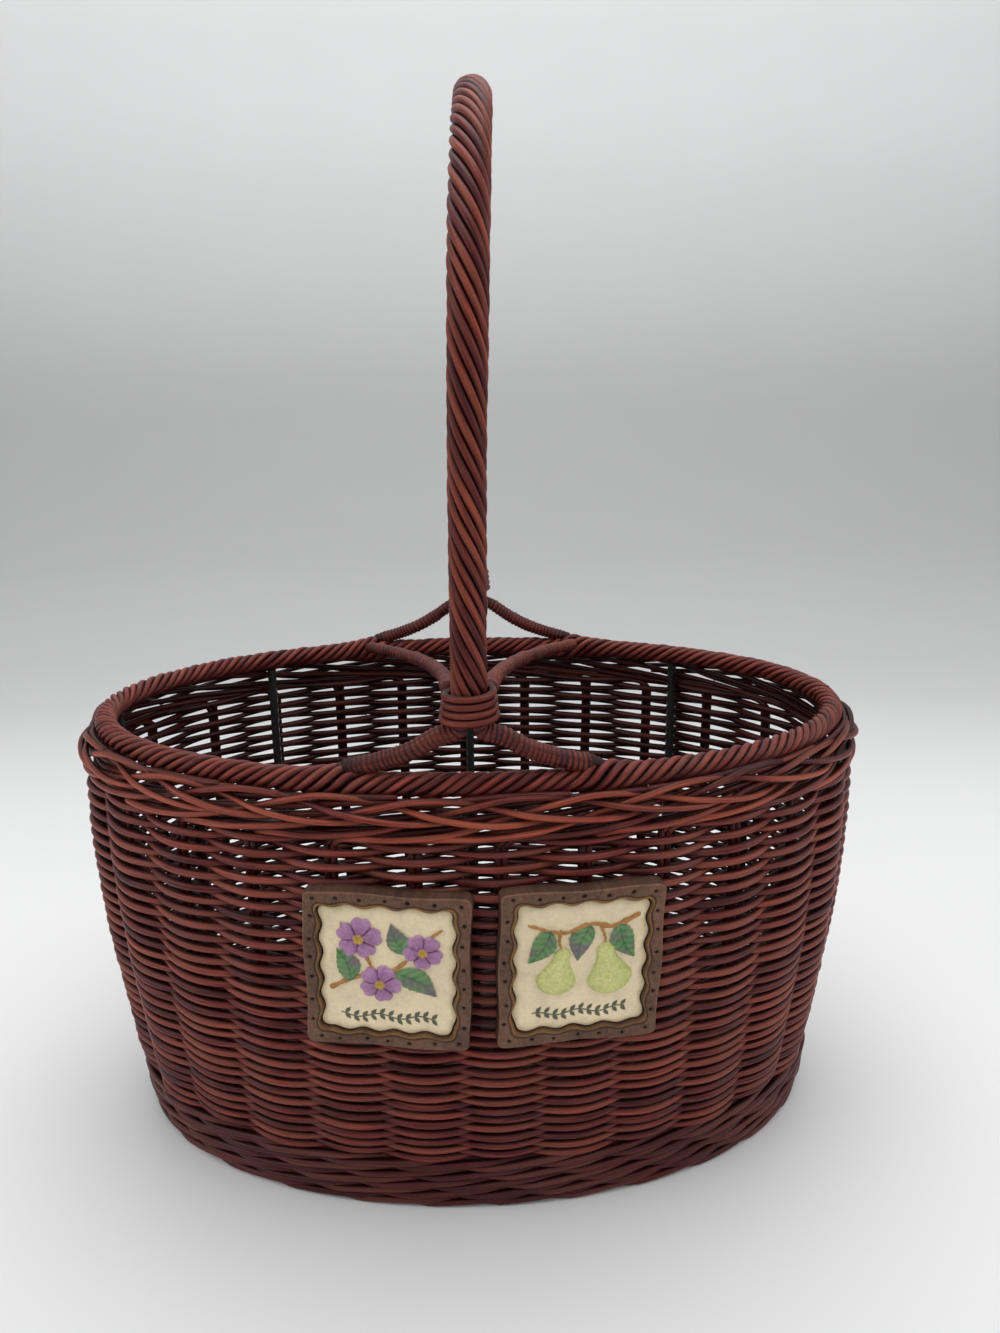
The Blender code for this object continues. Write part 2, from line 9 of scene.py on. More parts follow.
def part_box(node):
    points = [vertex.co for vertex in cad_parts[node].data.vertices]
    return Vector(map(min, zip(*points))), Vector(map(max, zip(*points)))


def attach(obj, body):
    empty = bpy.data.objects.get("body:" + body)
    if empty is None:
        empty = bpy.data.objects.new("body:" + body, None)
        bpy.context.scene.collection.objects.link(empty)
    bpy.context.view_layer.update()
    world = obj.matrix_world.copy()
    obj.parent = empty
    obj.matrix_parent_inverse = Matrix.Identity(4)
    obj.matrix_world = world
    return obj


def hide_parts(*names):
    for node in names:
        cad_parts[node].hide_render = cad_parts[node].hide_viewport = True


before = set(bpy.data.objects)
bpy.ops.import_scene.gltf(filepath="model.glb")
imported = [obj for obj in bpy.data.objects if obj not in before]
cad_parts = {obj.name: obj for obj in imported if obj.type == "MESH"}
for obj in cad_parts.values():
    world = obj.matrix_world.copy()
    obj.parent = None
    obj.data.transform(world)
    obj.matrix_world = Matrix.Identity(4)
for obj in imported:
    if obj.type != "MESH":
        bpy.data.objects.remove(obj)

bl_info = {
    "name": "Wicker Wine Basket",
    "version": (1, 0, 0),
    "blender": (4, 5, 0),
    "location": "View3D > Sidebar > Basket",
    "description": "Weaves an oval wicker wine basket round its packed model",
    "category": "Object",
}

# Where things are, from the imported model
HOOP_LOW, HOOP_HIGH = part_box("rim_hoop")
WIRE_HOOP_RADIUS = (HOOP_HIGH.z - HOOP_LOW.z) / 2.0
CENTRE_X = (HOOP_LOW.x + HOOP_HIGH.x) / 2.0
CENTRE_Y = (HOOP_LOW.y + HOOP_HIGH.y) / 2.0
CENTRE = np.array([CENTRE_X, CENTRE_Y, 0.0])
HALF_LENGTH = (HOOP_HIGH.x - HOOP_LOW.x) / 2.0 - WIRE_HOOP_RADIUS
HALF_WIDTH = (HOOP_HIGH.y - HOOP_LOW.y) / 2.0 - WIRE_HOOP_RADIUS
ROPE_HEIGHT = (HOOP_LOW.z + HOOP_HIGH.z) / 2.0
WALL_BOTTOM, WALL_TOP = (corner.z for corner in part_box("side_wall"))
BORDER_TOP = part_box("rolled_border")[1].z

# How far the wall's outer skin stands out from the rim oval, by share of the wall's height
WALL_SHARES = (0.0, 0.155, 0.328, 0.508, 0.687, 0.860, 1.0)
WALL_OFFSETS = (-0.0002, 0.0033, 0.0063, 0.0093, 0.0110, 0.0116, 0.0108)
SKIN_HEIGHTS = WALL_BOTTOM + np.array(WALL_SHARES) * (WALL_TOP - WALL_BOTTOM)

STAKES = 26
WALING_TOP = WALL_BOTTOM + 0.0102  # two more rows of waling cover the foot of the wall up to here
ROWS_TOP = WALL_TOP + 0.0042       # the wall's rows run on up here, behind the border
ROW_GROWTH = 0.26                  # how much taller the rows grow on their way up, as a power of e
SAME_PLACE = 1e-7                  # points closer than this are one
UP = np.array([0.0, 0.0, 1.0])


def gamma(red, green, blue):
    """A colour as a paint chart gives it, 0 to 255, as the scene's linear values."""
    return tuple((c / 255.0 / 12.92) if c <= 10 else ((c / 255.0 + 0.055) / 1.055) ** 2.4
                 for c in (red, green, blue))


def unit(directions):
    return directions / np.linalg.norm(directions, axis=-1, keepdims=True)


def run_of(points):
    """How far along a line each of its points is."""
    return np.concatenate([[0.0], np.cumsum(np.linalg.norm(np.diff(points, axis=0), axis=-1))])


def soft_step(value, low, high):
    """0 up to low and 1 from high on, with a smooth change between."""
    t = np.clip((value - low) / (high - low), 0.0, 1.0)
    return t * t * (3.0 - 2.0 * t)


# Angles and lengths round the rim oval
OVAL_ANGLES = np.linspace(0.0, math.tau, 7201)
OVAL_RUN = run_of(np.stack([HALF_LENGTH * np.cos(OVAL_ANGLES), HALF_WIDTH * np.sin(OVAL_ANGLES)], axis=-1))
OVAL_LENGTH = float(OVAL_RUN[-1])


def oval(share, offset, z):
    """Points at these shares of the oval's length, anticlockwise from +X, moved out square to it."""
    share, offset, z = np.broadcast_arrays(np.asarray(share, float), offset, z)
    angle = np.interp(np.mod(share, 1.0) * OVAL_LENGTH, OVAL_RUN, OVAL_ANGLES)
    c, s = np.cos(angle), np.sin(angle)
    out_x, out_y = c * HALF_WIDTH, s * HALF_LENGTH
    size = np.hypot(out_x, out_y)
    return np.stack([CENTRE_X + HALF_LENGTH * c + out_x / size * offset,
                     CENTRE_Y + HALF_WIDTH * s + out_y / size * offset, z], axis=-1)


def outward(share):
    """The level direction square to the oval at these shares."""
    return unit(oval(share, 1.0, 0.0) - oval(share, 0.0, 0.0))


def share_at_x(x, side):
    """Where on the oval the point this far to the right lies, on the front (-1) or the back (1)."""
    angle = math.acos(x / HALF_LENGTH)
    return float(np.interp(angle if side > 0 else math.tau - angle, OVAL_ANGLES, OVAL_RUN)) / OVAL_LENGTH


def stake_share(number):
    """The share of the oval's length at a stake's number, which may be a fraction or pass the last one.
    The stakes stand a little closer at one end than at the other."""
    number = np.asarray(number, float)
    angle = math.tau * number / STAKES
    return (number + 0.5 + 0.24 * (1.0 - np.cos(angle)) - 0.055 * np.sin(angle)) / STAKES


def skin(z):
    """How far the wall's outer skin stands out at this height."""
    return np.interp(z, SKIN_HEIGHTS, WALL_OFFSETS)


def row_height(share):
    """The height at this share of the wall's rows. They are packed closer low down than near the rim."""
    return WALING_TOP + (ROWS_TOP - WALING_TOP) * math.expm1(ROW_GROWTH * share) / math.expm1(ROW_GROWTH)


def in_row(number):
    """A rod's swing past the stakes: 1 outside a stake, -1 inside one, rounder there than an even wave."""
    wave = np.cos(math.pi * np.asarray(number, float))
    return np.sign(wave) * np.abs(wave) ** 0.90


def drift(seed, at, amount):
    """A slow wander along a rod: a few sines of random length, so it never jumps."""
    chance = np.random.default_rng(seed)
    wander = np.zeros_like(np.asarray(at, float))
    for size in (1.0, 0.6, 0.35):
        wander = wander + size * np.sin(at * chance.uniform(0.6, 1.6) / size + chance.uniform(0.0, 6.28))
    return wander * amount / 1.3


def smooth_line(points, count):
    """Evenly spaced points along a smooth line through the given ones."""
    p = np.array([np.asarray(v, float) for v in points])
    p = np.vstack([2.0 * p[0] - p[1], p, 2.0 * p[-1] - p[-2]])
    t = np.linspace(0.0, 1.0, 17)[:-1, None]
    fine = [0.5 * (2.0 * b + (c - a) * t + (2.0 * a - 5.0 * b + 4.0 * c - d) * t ** 2
                   + (3.0 * b - a - 3.0 * c + d) * t ** 3) for a, b, c, d in zip(p, p[1:], p[2:], p[3:])]
    fine = np.vstack([*fine, p[-2][None]])
    run = run_of(fine)
    at = np.linspace(0.0, run[-1], count + 1)
    return np.stack([np.interp(at, run, values) for values in fine.T], axis=-1)


def steady_frames(line):
    """Two directions square to the line at each point, carried along it without turning round it."""
    ahead = unit(np.gradient(line, axis=0))
    side = np.cross(ahead[0], UP if abs(ahead[0][2]) < 0.9 else (0.0, 1.0, 0.0))
    sides = []
    for direction in ahead:
        side = unit(side - direction * side.dot(direction))
        sides.append(side)
    return np.array(sides), np.cross(ahead, sides)


# Meshes
def add_sheet(bm, place, marks=()):
    """A sheet of faces through rows of places. marks pairs a vertex layer with its value at each place."""
    count, wide = place.shape[:2]
    made = bmesh.ops.create_grid(bm, x_segments=count - 1, y_segments=wide - 1, size=0.5)
    place = place.tolist()
    marks = [(layer, values.tolist()) for layer, values in marks]
    for vert in made["verts"]:
        i, j = round((vert.co.x + 0.5) * (count - 1)), round((vert.co.y + 0.5) * (wide - 1))
        for layer, values in marks:
            vert[layer] = values[i][j]
        vert.co = place[i][j]


def close(bm):
    """Joins the seams, fills the open ends and turns every face outward. Gives how many corners each end has."""
    bmesh.ops.remove_doubles(bm, verts=bm.verts, dist=SAME_PLACE)
    open_edges = [edge for edge in bm.edges if edge.is_boundary]
    ends = bmesh.ops.holes_fill(bm, edges=open_edges, sides=0)["faces"]
    bmesh.ops.recalc_face_normals(bm, faces=bm.faces)
    if bm.calc_volume(signed=True) < 0.0:
        bmesh.ops.reverse_faces(bm, faces=bm.faces)
    return [len(end.verts) for end in ends]


def smooth_object(bm, name, material):
    """Links a bmesh as a smooth object with its finish."""
    mesh = bpy.data.meshes.new(name)
    bm.to_mesh(mesh)
    bm.free()
    mesh.shade_smooth()
    mesh.materials.append(material)
    obj = bpy.data.objects.new(name, mesh)
    bpy.context.scene.collection.objects.link(obj)
    return obj


def piece(bm, name, material, replaces=()):
    """Links a bmesh as a piece of the basket, with the CAD nodes that it stands for."""
    obj = smooth_object(bm, name, material)
    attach(obj, "root")
    if replaces:
        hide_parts(*replaces)


class Bundle:
    """Rods laid one by one into a single mesh, each with its own shade of colour, with marks for its grain and for the
    shade painted on it.
    """

    def __init__(self, sides):
        self.bm = bmesh.new()
        self.sides = sides
        self.shade = self.bm.verts.layers.float.new("shade")
        self.worn = self.bm.verts.layers.float.new("worn")
        self.grain = self.bm.verts.layers.float_vector.new("grain")

    def lay(self, line, radius, shade, away=None, crest=1.0, ridges=None, inner=0.22, all_round=False):
        """A rod along the line, with shade painted on it. away points to the side painted lightest, out of the basket
        if not given. crest is 1 where it stands out from the others and less shade is painted, and ridges gives a
        height for (how far along, angle round). inner is how much painted light is left on its far side. A rod that is
        all_round takes its painted shade from its crest alone, the same on every side."""
        first, second = steady_frames(line)
        run = run_of(line)[:, None]
        turn = np.linspace(0.0, math.tau, self.sides + 1)[None, :]
        size, crest = (np.broadcast_to(np.asarray(v, float), len(line))[:, None] for v in (radius, crest))
        if ridges is not None:
            height = ridges(run, turn)
            # Painted shade in the grooves between the ridges
            crest = crest * np.clip(0.05 + height / 0.00045, 0.0, 1.0)
            size = size + height
        across, up = size * np.cos(turn), size * np.sin(turn)
        place = line[:, None, :] + across[..., None] * first[:, None, :] + up[..., None] * second[:, None, :]
        if away is None:
            away = unit((line - CENTRE) * [HALF_LENGTH ** -2, HALF_WIDTH ** -2, 0.0])
        # Painted shade: darker where the rod faces in or passes behind others, lighter where it faces out on a crest
        facing = (np.sum(first * away, axis=-1, keepdims=True) * np.cos(turn)
                  + np.sum(second * away, axis=-1, keepdims=True) * np.sin(turn))
        if all_round:
            worn = 0.05 + 0.87 * crest
        else:
            worn = (np.clip(facing, 0.0, 1.0) * (0.34 + 0.66 * crest) + 0.16 * (1.0 - np.abs(facing))
                    + np.clip(-facing, 0.0, 1.0) * inner * (1.4 - crest))
        grain = np.stack([np.broadcast_to(run + shade * 3.0, across.shape), across, up], axis=-1)
        add_sheet(self.bm, place, ((self.shade, np.full(across.shape, shade)), (self.worn, worn), (self.grain, grain)))

    def finish(self, name, slot, finish, replaces=()):
        """Closes the rods and makes them one smooth piece of the basket."""
        if any(corners != self.sides for corners in close(self.bm)):
            raise RuntimeError("%s: a rod's seam is open" % name)
        piece(self.bm, name, finish_of(finish), replaces)


# Shader maths written as expressions
def sum_node(operation, reflected=False):
    """A method of Wire that adds a node for one of Python's operators."""
    def method(self, other):
        values = (other, self) if reflected else (self, other)
        return self.nodes.add("ShaderNodeMath", {"operation": operation}, *values)
    return method


class Wire:
    """A shader socket that can be used in a sum."""

    def __init__(self, nodes, socket):
        self.nodes, self.socket = nodes, socket

    __add__, __radd__ = sum_node("ADD"), sum_node("ADD", True)
    __sub__, __rsub__ = sum_node("SUBTRACT"), sum_node("SUBTRACT", True)
    __mul__, __rmul__ = sum_node("MULTIPLY"), sum_node("MULTIPLY", True)

    def step(self, low, high):
        """0 below low and 1 above high, with a soft change between."""
        return self.nodes.add("ShaderNodeMapRange", {"interpolation_type": "SMOOTHSTEP"}, self, low, high, 0.0, 1.0)


class Nodes:
    """The nodes of a material or of the world."""

    def __init__(self, tree):
        self.tree = tree

    def feed(self, socket, value):
        """Links a wire to a socket, or sets the socket to a number, a vector or a colour."""
        if isinstance(value, Wire):
            self.tree.links.new(value.socket, socket)
        elif value is not None:
            size = len(socket.default_value) if hasattr(socket.default_value, "__len__") else 0
            socket.default_value = (*value, 1.0)[:size] if size else value

    def add(self, kind, settings=None, *values, out=0, **named):
        """A node of this kind with its settings, then the values or links of its sockets."""
        node = self.tree.nodes.new(kind)
        for key, value in (settings or {}).items():
            if key == "stops":
                self.set_stops(node.color_ramp, value)
            else:
                setattr(node, key, value)
        enabled = [socket for socket in node.inputs if socket.enabled]
        for socket, value in [*zip(enabled, values), *((node.inputs[k], v) for k, v in named.items())]:
            self.feed(socket, value)
        shown = [socket for socket in node.outputs if socket.enabled]
        return Wire(self, shown[out] if isinstance(out, int) else node.outputs[out])

    def set_stops(self, ramp, stops):
        while len(ramp.elements) < len(stops):
            ramp.elements.new(1.0)
        for element, (place, colour) in zip(ramp.elements, stops):
            element.position, element.color = place, (*colour, 1.0)

    def mix(self, share, first, second, way="MIX"):
        """A colour between two, or one laid over the other in another way."""
        return self.add("ShaderNodeMix", {"data_type": "RGBA", "blend_type": way}, share, first, second)

    def ramp(self, value, stops):
        return self.add("ShaderNodeValToRGB", {"stops": stops}, value)

    def place(self):
        return self.add("ShaderNodeTexCoord", out="Object")

    def noise(self, vector, scale, detail=2.0, roughness=0.5):
        return self.add("ShaderNodeTexNoise", {"noise_dimensions": "3D"}, Vector=vector, Scale=scale,
                        Detail=detail, Roughness=roughness)


class Finish(Nodes):
    """A material and its nodes, from Blender's own Principled shader."""

    def __init__(self, name, roughness, **constants):
        self.material = bpy.data.materials.new(name)
        self.material.use_nodes = True
        super().__init__(self.material.node_tree)
        self.shader = self.tree.nodes["Principled BSDF"]
        self.shader.inputs["Roughness"].default_value = roughness
        for socket, value in constants.items():
            self.shader.inputs[socket.replace("_", " ")].default_value = value

    def attribute(self, name, out="Fac"):
        return self.add("ShaderNodeAttribute", {"attribute_name": name}, out=out)

    def stretch(self, vector, scale):
        return self.add("ShaderNodeVectorMath", {"operation": "MULTIPLY"}, vector, scale)

    def colour(self, value):
        self.feed(self.shader.inputs["Base Color"], value)

    def roughness(self, value):
        self.feed(self.shader.inputs["Roughness"], value)

    def bump(self, height, depth, strength):
        raised = self.add("ShaderNodeBump", None, Strength=strength, Distance=depth, Height=height)
        self.feed(self.shader.inputs["Normal"], raised)


# By kind of willow: its name, which colour is its light one, how much is left of the light, body and grey
# colours, how much grey shows, and how rough it is
WILLOWS = {
    "wall": ("wall willow", "light", 1.0, 1.0, 1.0, 0.55, 0.42),
    # The foot's willow is the wall's made darker: painted shade for the foot under the overhanging wall
    "foot": ("foot willow", "light", 0.52, 0.54, 0.6, 0.6, 0.42),
    "border": ("border willow", "red", 1.0, 1.0, 1.0, 0.4, 0.42),
    "rope": ("rope willow", "light", 1.0, 1.0, 1.0, 0.6, 0.42),
    "handle": ("handle willow", "red", 0.80, 0.85, 0.8, 0.4, 0.42),
    "wrap": ("split willow wrapping", "light", 0.64, 0.54, 0.7, 0.4, 0.5),
}
FINE_GRAIN, BROAD_GRAIN = (38.0, 1500.0, 1500.0), (45.0, 160.0, 160.0)


def willow(kind, c):
    """Dyed willow: streaks along the rod, each rod its own shade, stain that comes and goes, painted shade in the
    crevices and on the rods' far sides, a painted highlight on their crests, under a satin varnish."""
    name, pale, light_left, body_left, grey_left, grey_amount, roughness = WILLOWS[kind]
    light, body, grey = duller(getattr(c, pale), light_left), duller(c.body, body_left), duller(c.grey, grey_left)
    f = Finish(name, roughness, Coat_Weight=0.05, Coat_Roughness=0.30, Specular_IOR_Level=0.19)
    grain, shade, worn = f.attribute("grain", "Vector"), f.attribute("shade"), f.attribute("worn")
    streak = f.noise(f.stretch(grain, FINE_GRAIN), 1.0, detail=3.0, roughness=0.62)
    blotch = f.noise(f.stretch(grain, BROAD_GRAIN), 1.0)
    stain = f.noise(f.place(), 26.0, detail=3.0)
    # The mark for painted shade also lightens the rods' crests: a painted highlight
    tone = streak * 0.95 + blotch * 0.42 + shade * 0.44 + stain * 0.30 + worn * 0.20 - 0.755
    wood = f.ramp(tone, [(0.22, c.dark), (0.46, body), (0.76, light)])
    greyed = (blotch * 0.6 + stain * 0.5 + shade * 0.22).step(0.56, 0.80) * grey_amount
    # Painted shade: mixed towards the deep colour in crevices, grooves and on the rods' far sides
    f.colour(f.mix((1.0 - worn) * 0.92, f.mix(greyed, wood, grey), c.deep))
    f.roughness(streak * 0.26 + blotch * 0.16 + (roughness - 0.19))
    f.bump(streak, 0.00025, 0.55)
    return f.material


def lacquer(name, black):
    """Black lacquer on wire, slightly rubbed."""
    f = Finish(name, 0.35, Metallic=0.0, Specular_IOR_Level=0.5)
    fine, broad = f.noise(f.place(), 900.0, detail=3.0), f.noise(f.place(), 90.0)
    f.colour(f.ramp(fine * 0.5 + broad * 0.5, [(0.35, black), (0.75, duller(black, 3.0))]))
    f.roughness(fine * 0.25 + 0.25)
    f.bump(fine, 0.00015, 0.4)
    return f.material


def painted_resin(name, roughness, rough_by, size):
    """Cast resin with hand paint: the colours come from the piece's own paint, dulled and mottled."""
    f = Finish(name, roughness, Specular_IOR_Level=0.30)
    fine, broad = f.noise(f.place(), size, detail=5.0, roughness=0.65), f.noise(f.place(), 130.0, detail=3.0)
    wear_and_painted_light = (fine * 0.6 + broad * 0.5).step(0.42, 0.80) * 0.16
    f.colour(f.mix(wear_and_painted_light, f.attribute("paint", "Color"), duller(gamma(120, 92, 66), 0.25)))
    f.roughness(fine * rough_by + (roughness - rough_by / 2.0))
    f.bump(fine, 0.00022, 0.5)
    return f.material


# What a user can change
def length_setting(name, description, default, low, high, precision=4):
    return bpy.props.FloatProperty(name=name, description=description, default=default, min=low, max=high,
                                   precision=precision, unit="LENGTH", subtype="DISTANCE")


class BasketSizes(bpy.types.PropertyGroup):
    row_pitch: length_setting("Row pitch", "Height of one row of the wall, on average", 0.0026, 0.0015, 0.006)
    rod: length_setting("Wall rod", "Thickness of a rod in the wall", 0.0029, 0.001, 0.006, 5)
    stake: length_setting("Stake", "Thickness of one of the two rods of a stake", 0.00275, 0.001, 0.008, 5)
    swing: length_setting("Swing", "How far a rod swings to each side of the stakes", 0.0031, 0.001, 0.008)
    border_rod: length_setting("Border rod", "Thickness of a rod in the border", 0.0029, 0.001, 0.006)
    rope_lay: length_setting("Rope lay", "Length of one turn of the rim rope", 0.033, 0.01, 0.1, 3)
    handle_lay: length_setting("Handle lay", "Length of one turn of the handle's rods", 0.070, 0.02, 0.2, 3)
    handle_rods: bpy.props.IntProperty(
        name="Handle rods", description="Rods twisted round the handle's core", default=10, min=4, max=16)
    rope_rods: bpy.props.IntProperty(
        name="Rope rods", description="Rods twisted round the rim", default=6, min=3, max=10)
    wrap: length_setting("Wrap", "Width of the split rod wound round legs and braces", 0.0020, 0.0005, 0.006)


def colour_setting(name, description, default):
    return bpy.props.FloatVectorProperty(name=name, description=description, subtype="COLOR",
                                         default=default, min=0.0, max=1.0, size=3)


class BasketColours(bpy.types.PropertyGroup):
    light: colour_setting("Light willow", "Where the dye is thin", gamma(172, 80, 62))
    body: colour_setting("Willow", "The dye's usual shade", gamma(114, 42, 36))
    dark: colour_setting("Dark willow", "Where the dye is deep", gamma(62, 17, 15))
    # The colour of the shade painted into the willow's crevices, grooves and the rods' far sides
    deep: colour_setting("Painted shade", "The colour of the shade painted into the willow", gamma(24, 3, 3))
    grey: colour_setting("Grey willow", "Where the wood shows through the dye", gamma(90, 54, 46))
    red: colour_setting("Border willow", "The redder rods of the border", gamma(188, 86, 56))
    wire: colour_setting("Wire", "Lacquer on the wire frame", gamma(22, 20, 20))
    resin: colour_setting("Plaque frame", "Paint on the plaques' frames", gamma(106, 74, 58))
    ochre: colour_setting("Plaque line", "Thin line inside the frames", gamma(138, 98, 46))
    cream: colour_setting("Plaque panel", "Paint on the plaques' panels", gamma(242, 224, 186))
    floor: colour_setting("Floor", "The floor and the backdrop", gamma(226, 226, 226))


def sizes():
    return bpy.context.scene.basket_sizes


def colours():
    return bpy.context.scene.basket_colours


def duller(colour, share):
    return tuple(v * share for v in colour)


_finishes = {}


def finish_of(kind):
    """Each finish is made once and shared."""
    if kind not in _finishes:
        c = colours()
        _finishes[kind] = willow(kind, c) if kind in WILLOWS else lacquer("black lacquered wire", c.wire)
    return _finishes[kind]


# The wall
WALL_STEPS = 9                     # points between one stake and the next
TUCK = 0.42                        # how far a rod runs on past the stakes where it starts and stops, in stakes
STAKE_BOTTOM, STAKE_TOP = 0.004, WALL_TOP - 0.0005


def weave_middle(z, size):
    """How far out the middle of the wall's thickness is at this height."""
    return skin(z) - size.swing - size.rod / 2.0


def wall_row(rods, row, rows, size):
    """One rod round the basket, outside one stake and inside the next, its ends tucked in behind a stake."""
    chance = np.random.default_rng(1000 + row)
    start = int(chance.integers(0, STAKES // 2)) * 2 + row % 2
    number = np.linspace(start - TUCK, start + STAKES + TUCK, WALL_STEPS * (STAKES + 1))
    wave, up = in_row(number - row), row / rows
    ends = np.maximum(start + TUCK - number, number - start - STAKES + TUCK)
    ends = np.clip(ends / (2.0 * TUCK), 0.0, 1.0)
    z = row_height((row + 0.5) / rows) + drift(row * 3 + 1, number, 0.00026) + 0.00012 * wave
    # The lower rows swing less, and the top ones lie further in, behind the border
    swing = size.swing * (0.80 + 0.20 * min(1.0, 1.6 * up))
    swing = wave * swing * (1.0 + drift(row * 3 + 2, number, 0.06))
    offset = weave_middle(z, size) + swing - ends * size.rod * 0.25
    offset = offset - 0.0024 * np.clip((z - STAKE_TOP) / 0.0025, 0.0, 1.0)
    # A rod is fuller where it presses on a stake, the more so low down
    thick = size.rod / 2.0 * chance.uniform(0.92, 1.06) * (1.0 + drift(row * 3, number, 0.05))
    thick = thick * (0.90 + 0.12 * up + (0.28 - 0.11 * up) * np.abs(wave))
    # Shade is painted where the rod passes behind a stake
    rods.lay(oval(stake_share(number), offset, z), thick, float(chance.uniform(0.0, 1.0)),
             crest=np.clip(0.8 + wave, 0.0, 1.0))


class BASKET_OT_wall(bpy.types.Operator):
    """Weave the wall: rows of rods in front of one stake and behind the next"""
    bl_idname = "basket.wall"
    bl_label = "Wall"

    def execute(self, context):
        size = sizes()
        rows = round((ROWS_TOP - WALING_TOP) / size.row_pitch)
        parts = ("lower_weave", "middle_weave", "upper_weave")
        each = math.ceil(rows / len(parts))
        for i, name in enumerate(parts):
            rods = Bundle(8)
            for row in range(i * each, min((i + 1) * each, rows)):
                wall_row(rods, row, rows, size)
            rods.finish(name, "wall_wicker", "wall", () if i else ("side_wall",))
        return {"FINISHED"}


class BASKET_OT_stakes(bpy.types.Operator):
    """Stand the stakes, two rods side by side, that the rows are woven round"""
    bl_idname = "basket.stakes"
    bl_label = "Stakes"

    def execute(self, context):
        size = sizes()
        rods = Bundle(8)
        apart = size.stake / 2.0 / OVAL_LENGTH * 0.92
        z = np.linspace(STAKE_BOTTOM, STAKE_TOP, 20)
        # In the middle of the wall's thickness, and of the foot's below it
        offset = np.where(z < WALL_BOTTOM, -0.0070 + z * 0.12, weave_middle(z, size))
        for k in range(STAKES):
            for way in (-1.0, 1.0):
                share = stake_share(k) + way * apart + drift(200 + k, z * 30.0, 0.0003)
                # A low crest paints the stakes in shade, as they stand behind the rows
                rods.lay(oval(share, offset, z), size.stake / 2.0, (k * 0.618 + way * 0.2) % 1.0 * 0.6, crest=0.35)
        rods.finish("stakes", "wall_wicker", "wall")
        return {"FINISHED"}


# The foot
WALING_STARTS = (0, 27, 51, 78)    # the stakes where a row's three rods start, and where the last one ends
WALING_TUCK = 0.45                 # how far each runs on there, in stakes
WALING_ROD = 0.00155               # half a rod's thickness
WALING_DEPTH, WALING_SWING, WALING_RISE = 0.0038, 0.0023, 0.0018
LOWEST = 0.00158                   # its middle stays this far above the ground


def waling(rods, row, middle, outer):
    """Three rods that each pass over two stakes and behind one, rising as they go, all the way round."""
    seed = 20 * row
    for rod, (start, stop) in enumerate(zip(WALING_STARTS, WALING_STARTS[1:])):
        start, stop = start - WALING_TUCK, stop + WALING_TUCK
        number = np.linspace(start, stop, int((stop - start) * 9))
        phase = math.tau * (number + row * 1.3) / 3.0
        wave = np.clip(0.40 - 1.2 * np.cos(phase), -1.0, 1.0)
        rise = WALING_RISE * np.sin(phase) * (1.0 if row else 0.55)
        z = np.maximum(middle - rise + drift(seed + rod, number, 0.00028), LOWEST)
        # Shade is painted where a rod passes behind a stake
        rods.lay(oval(stake_share(number), outer - WALING_DEPTH + WALING_SWING * wave, z),
                 WALING_ROD * (1.0 + drift(seed + 9 + rod, number, 0.07)),
                 ((rod * 2 + row) % 3 * 0.42 + 0.05) * 0.9, crest=(1.0 + wave) / 2.0)


class BASKET_OT_foot(bpy.types.Operator):
    """Wale the foot: rows of three rods, each over two stakes and behind one"""
    bl_idname = "basket.foot"
    bl_label = "Foot"

    def execute(self, context):
        for row in range(3):
            node = "foot_wale_%d" % (row + 1)
            low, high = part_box(node)
            rods = Bundle(9)
            waling(rods, row, (low.z + high.z) / 2.0, (high.x - low.x) / 2.0 - HALF_LENGTH)
            rods.finish("foot_waling_%d" % (row + 1), "foot_wicker", "foot", (node,))
        rods = Bundle(9)
        for row, share in ((3, 0.25), (4, 0.75)):
            z = WALL_BOTTOM + (WALING_TOP - WALL_BOTTOM) * share
            waling(rods, row, z, float(skin(z)) - 0.0002)
        rods.finish("upper_waling", "wall_wicker", "foot")
        return {"FINISHED"}


# The floor
BASE_OFFSET = -0.0086              # where its rods meet the stakes, from the rim oval
BASE_CORE_SHARES = (0.434, 0.03)   # length and width of its narrow middle against the whole
BASE_ROUNDS = 35
BASE_ROD, BASE_STICK, BASE_LONG_ROD = 0.00136, 0.0011, 0.0013
BASE_SWING = 0.0011                # how far a round passes over and under the sticks
LONG_RODS_APART = 0.0022


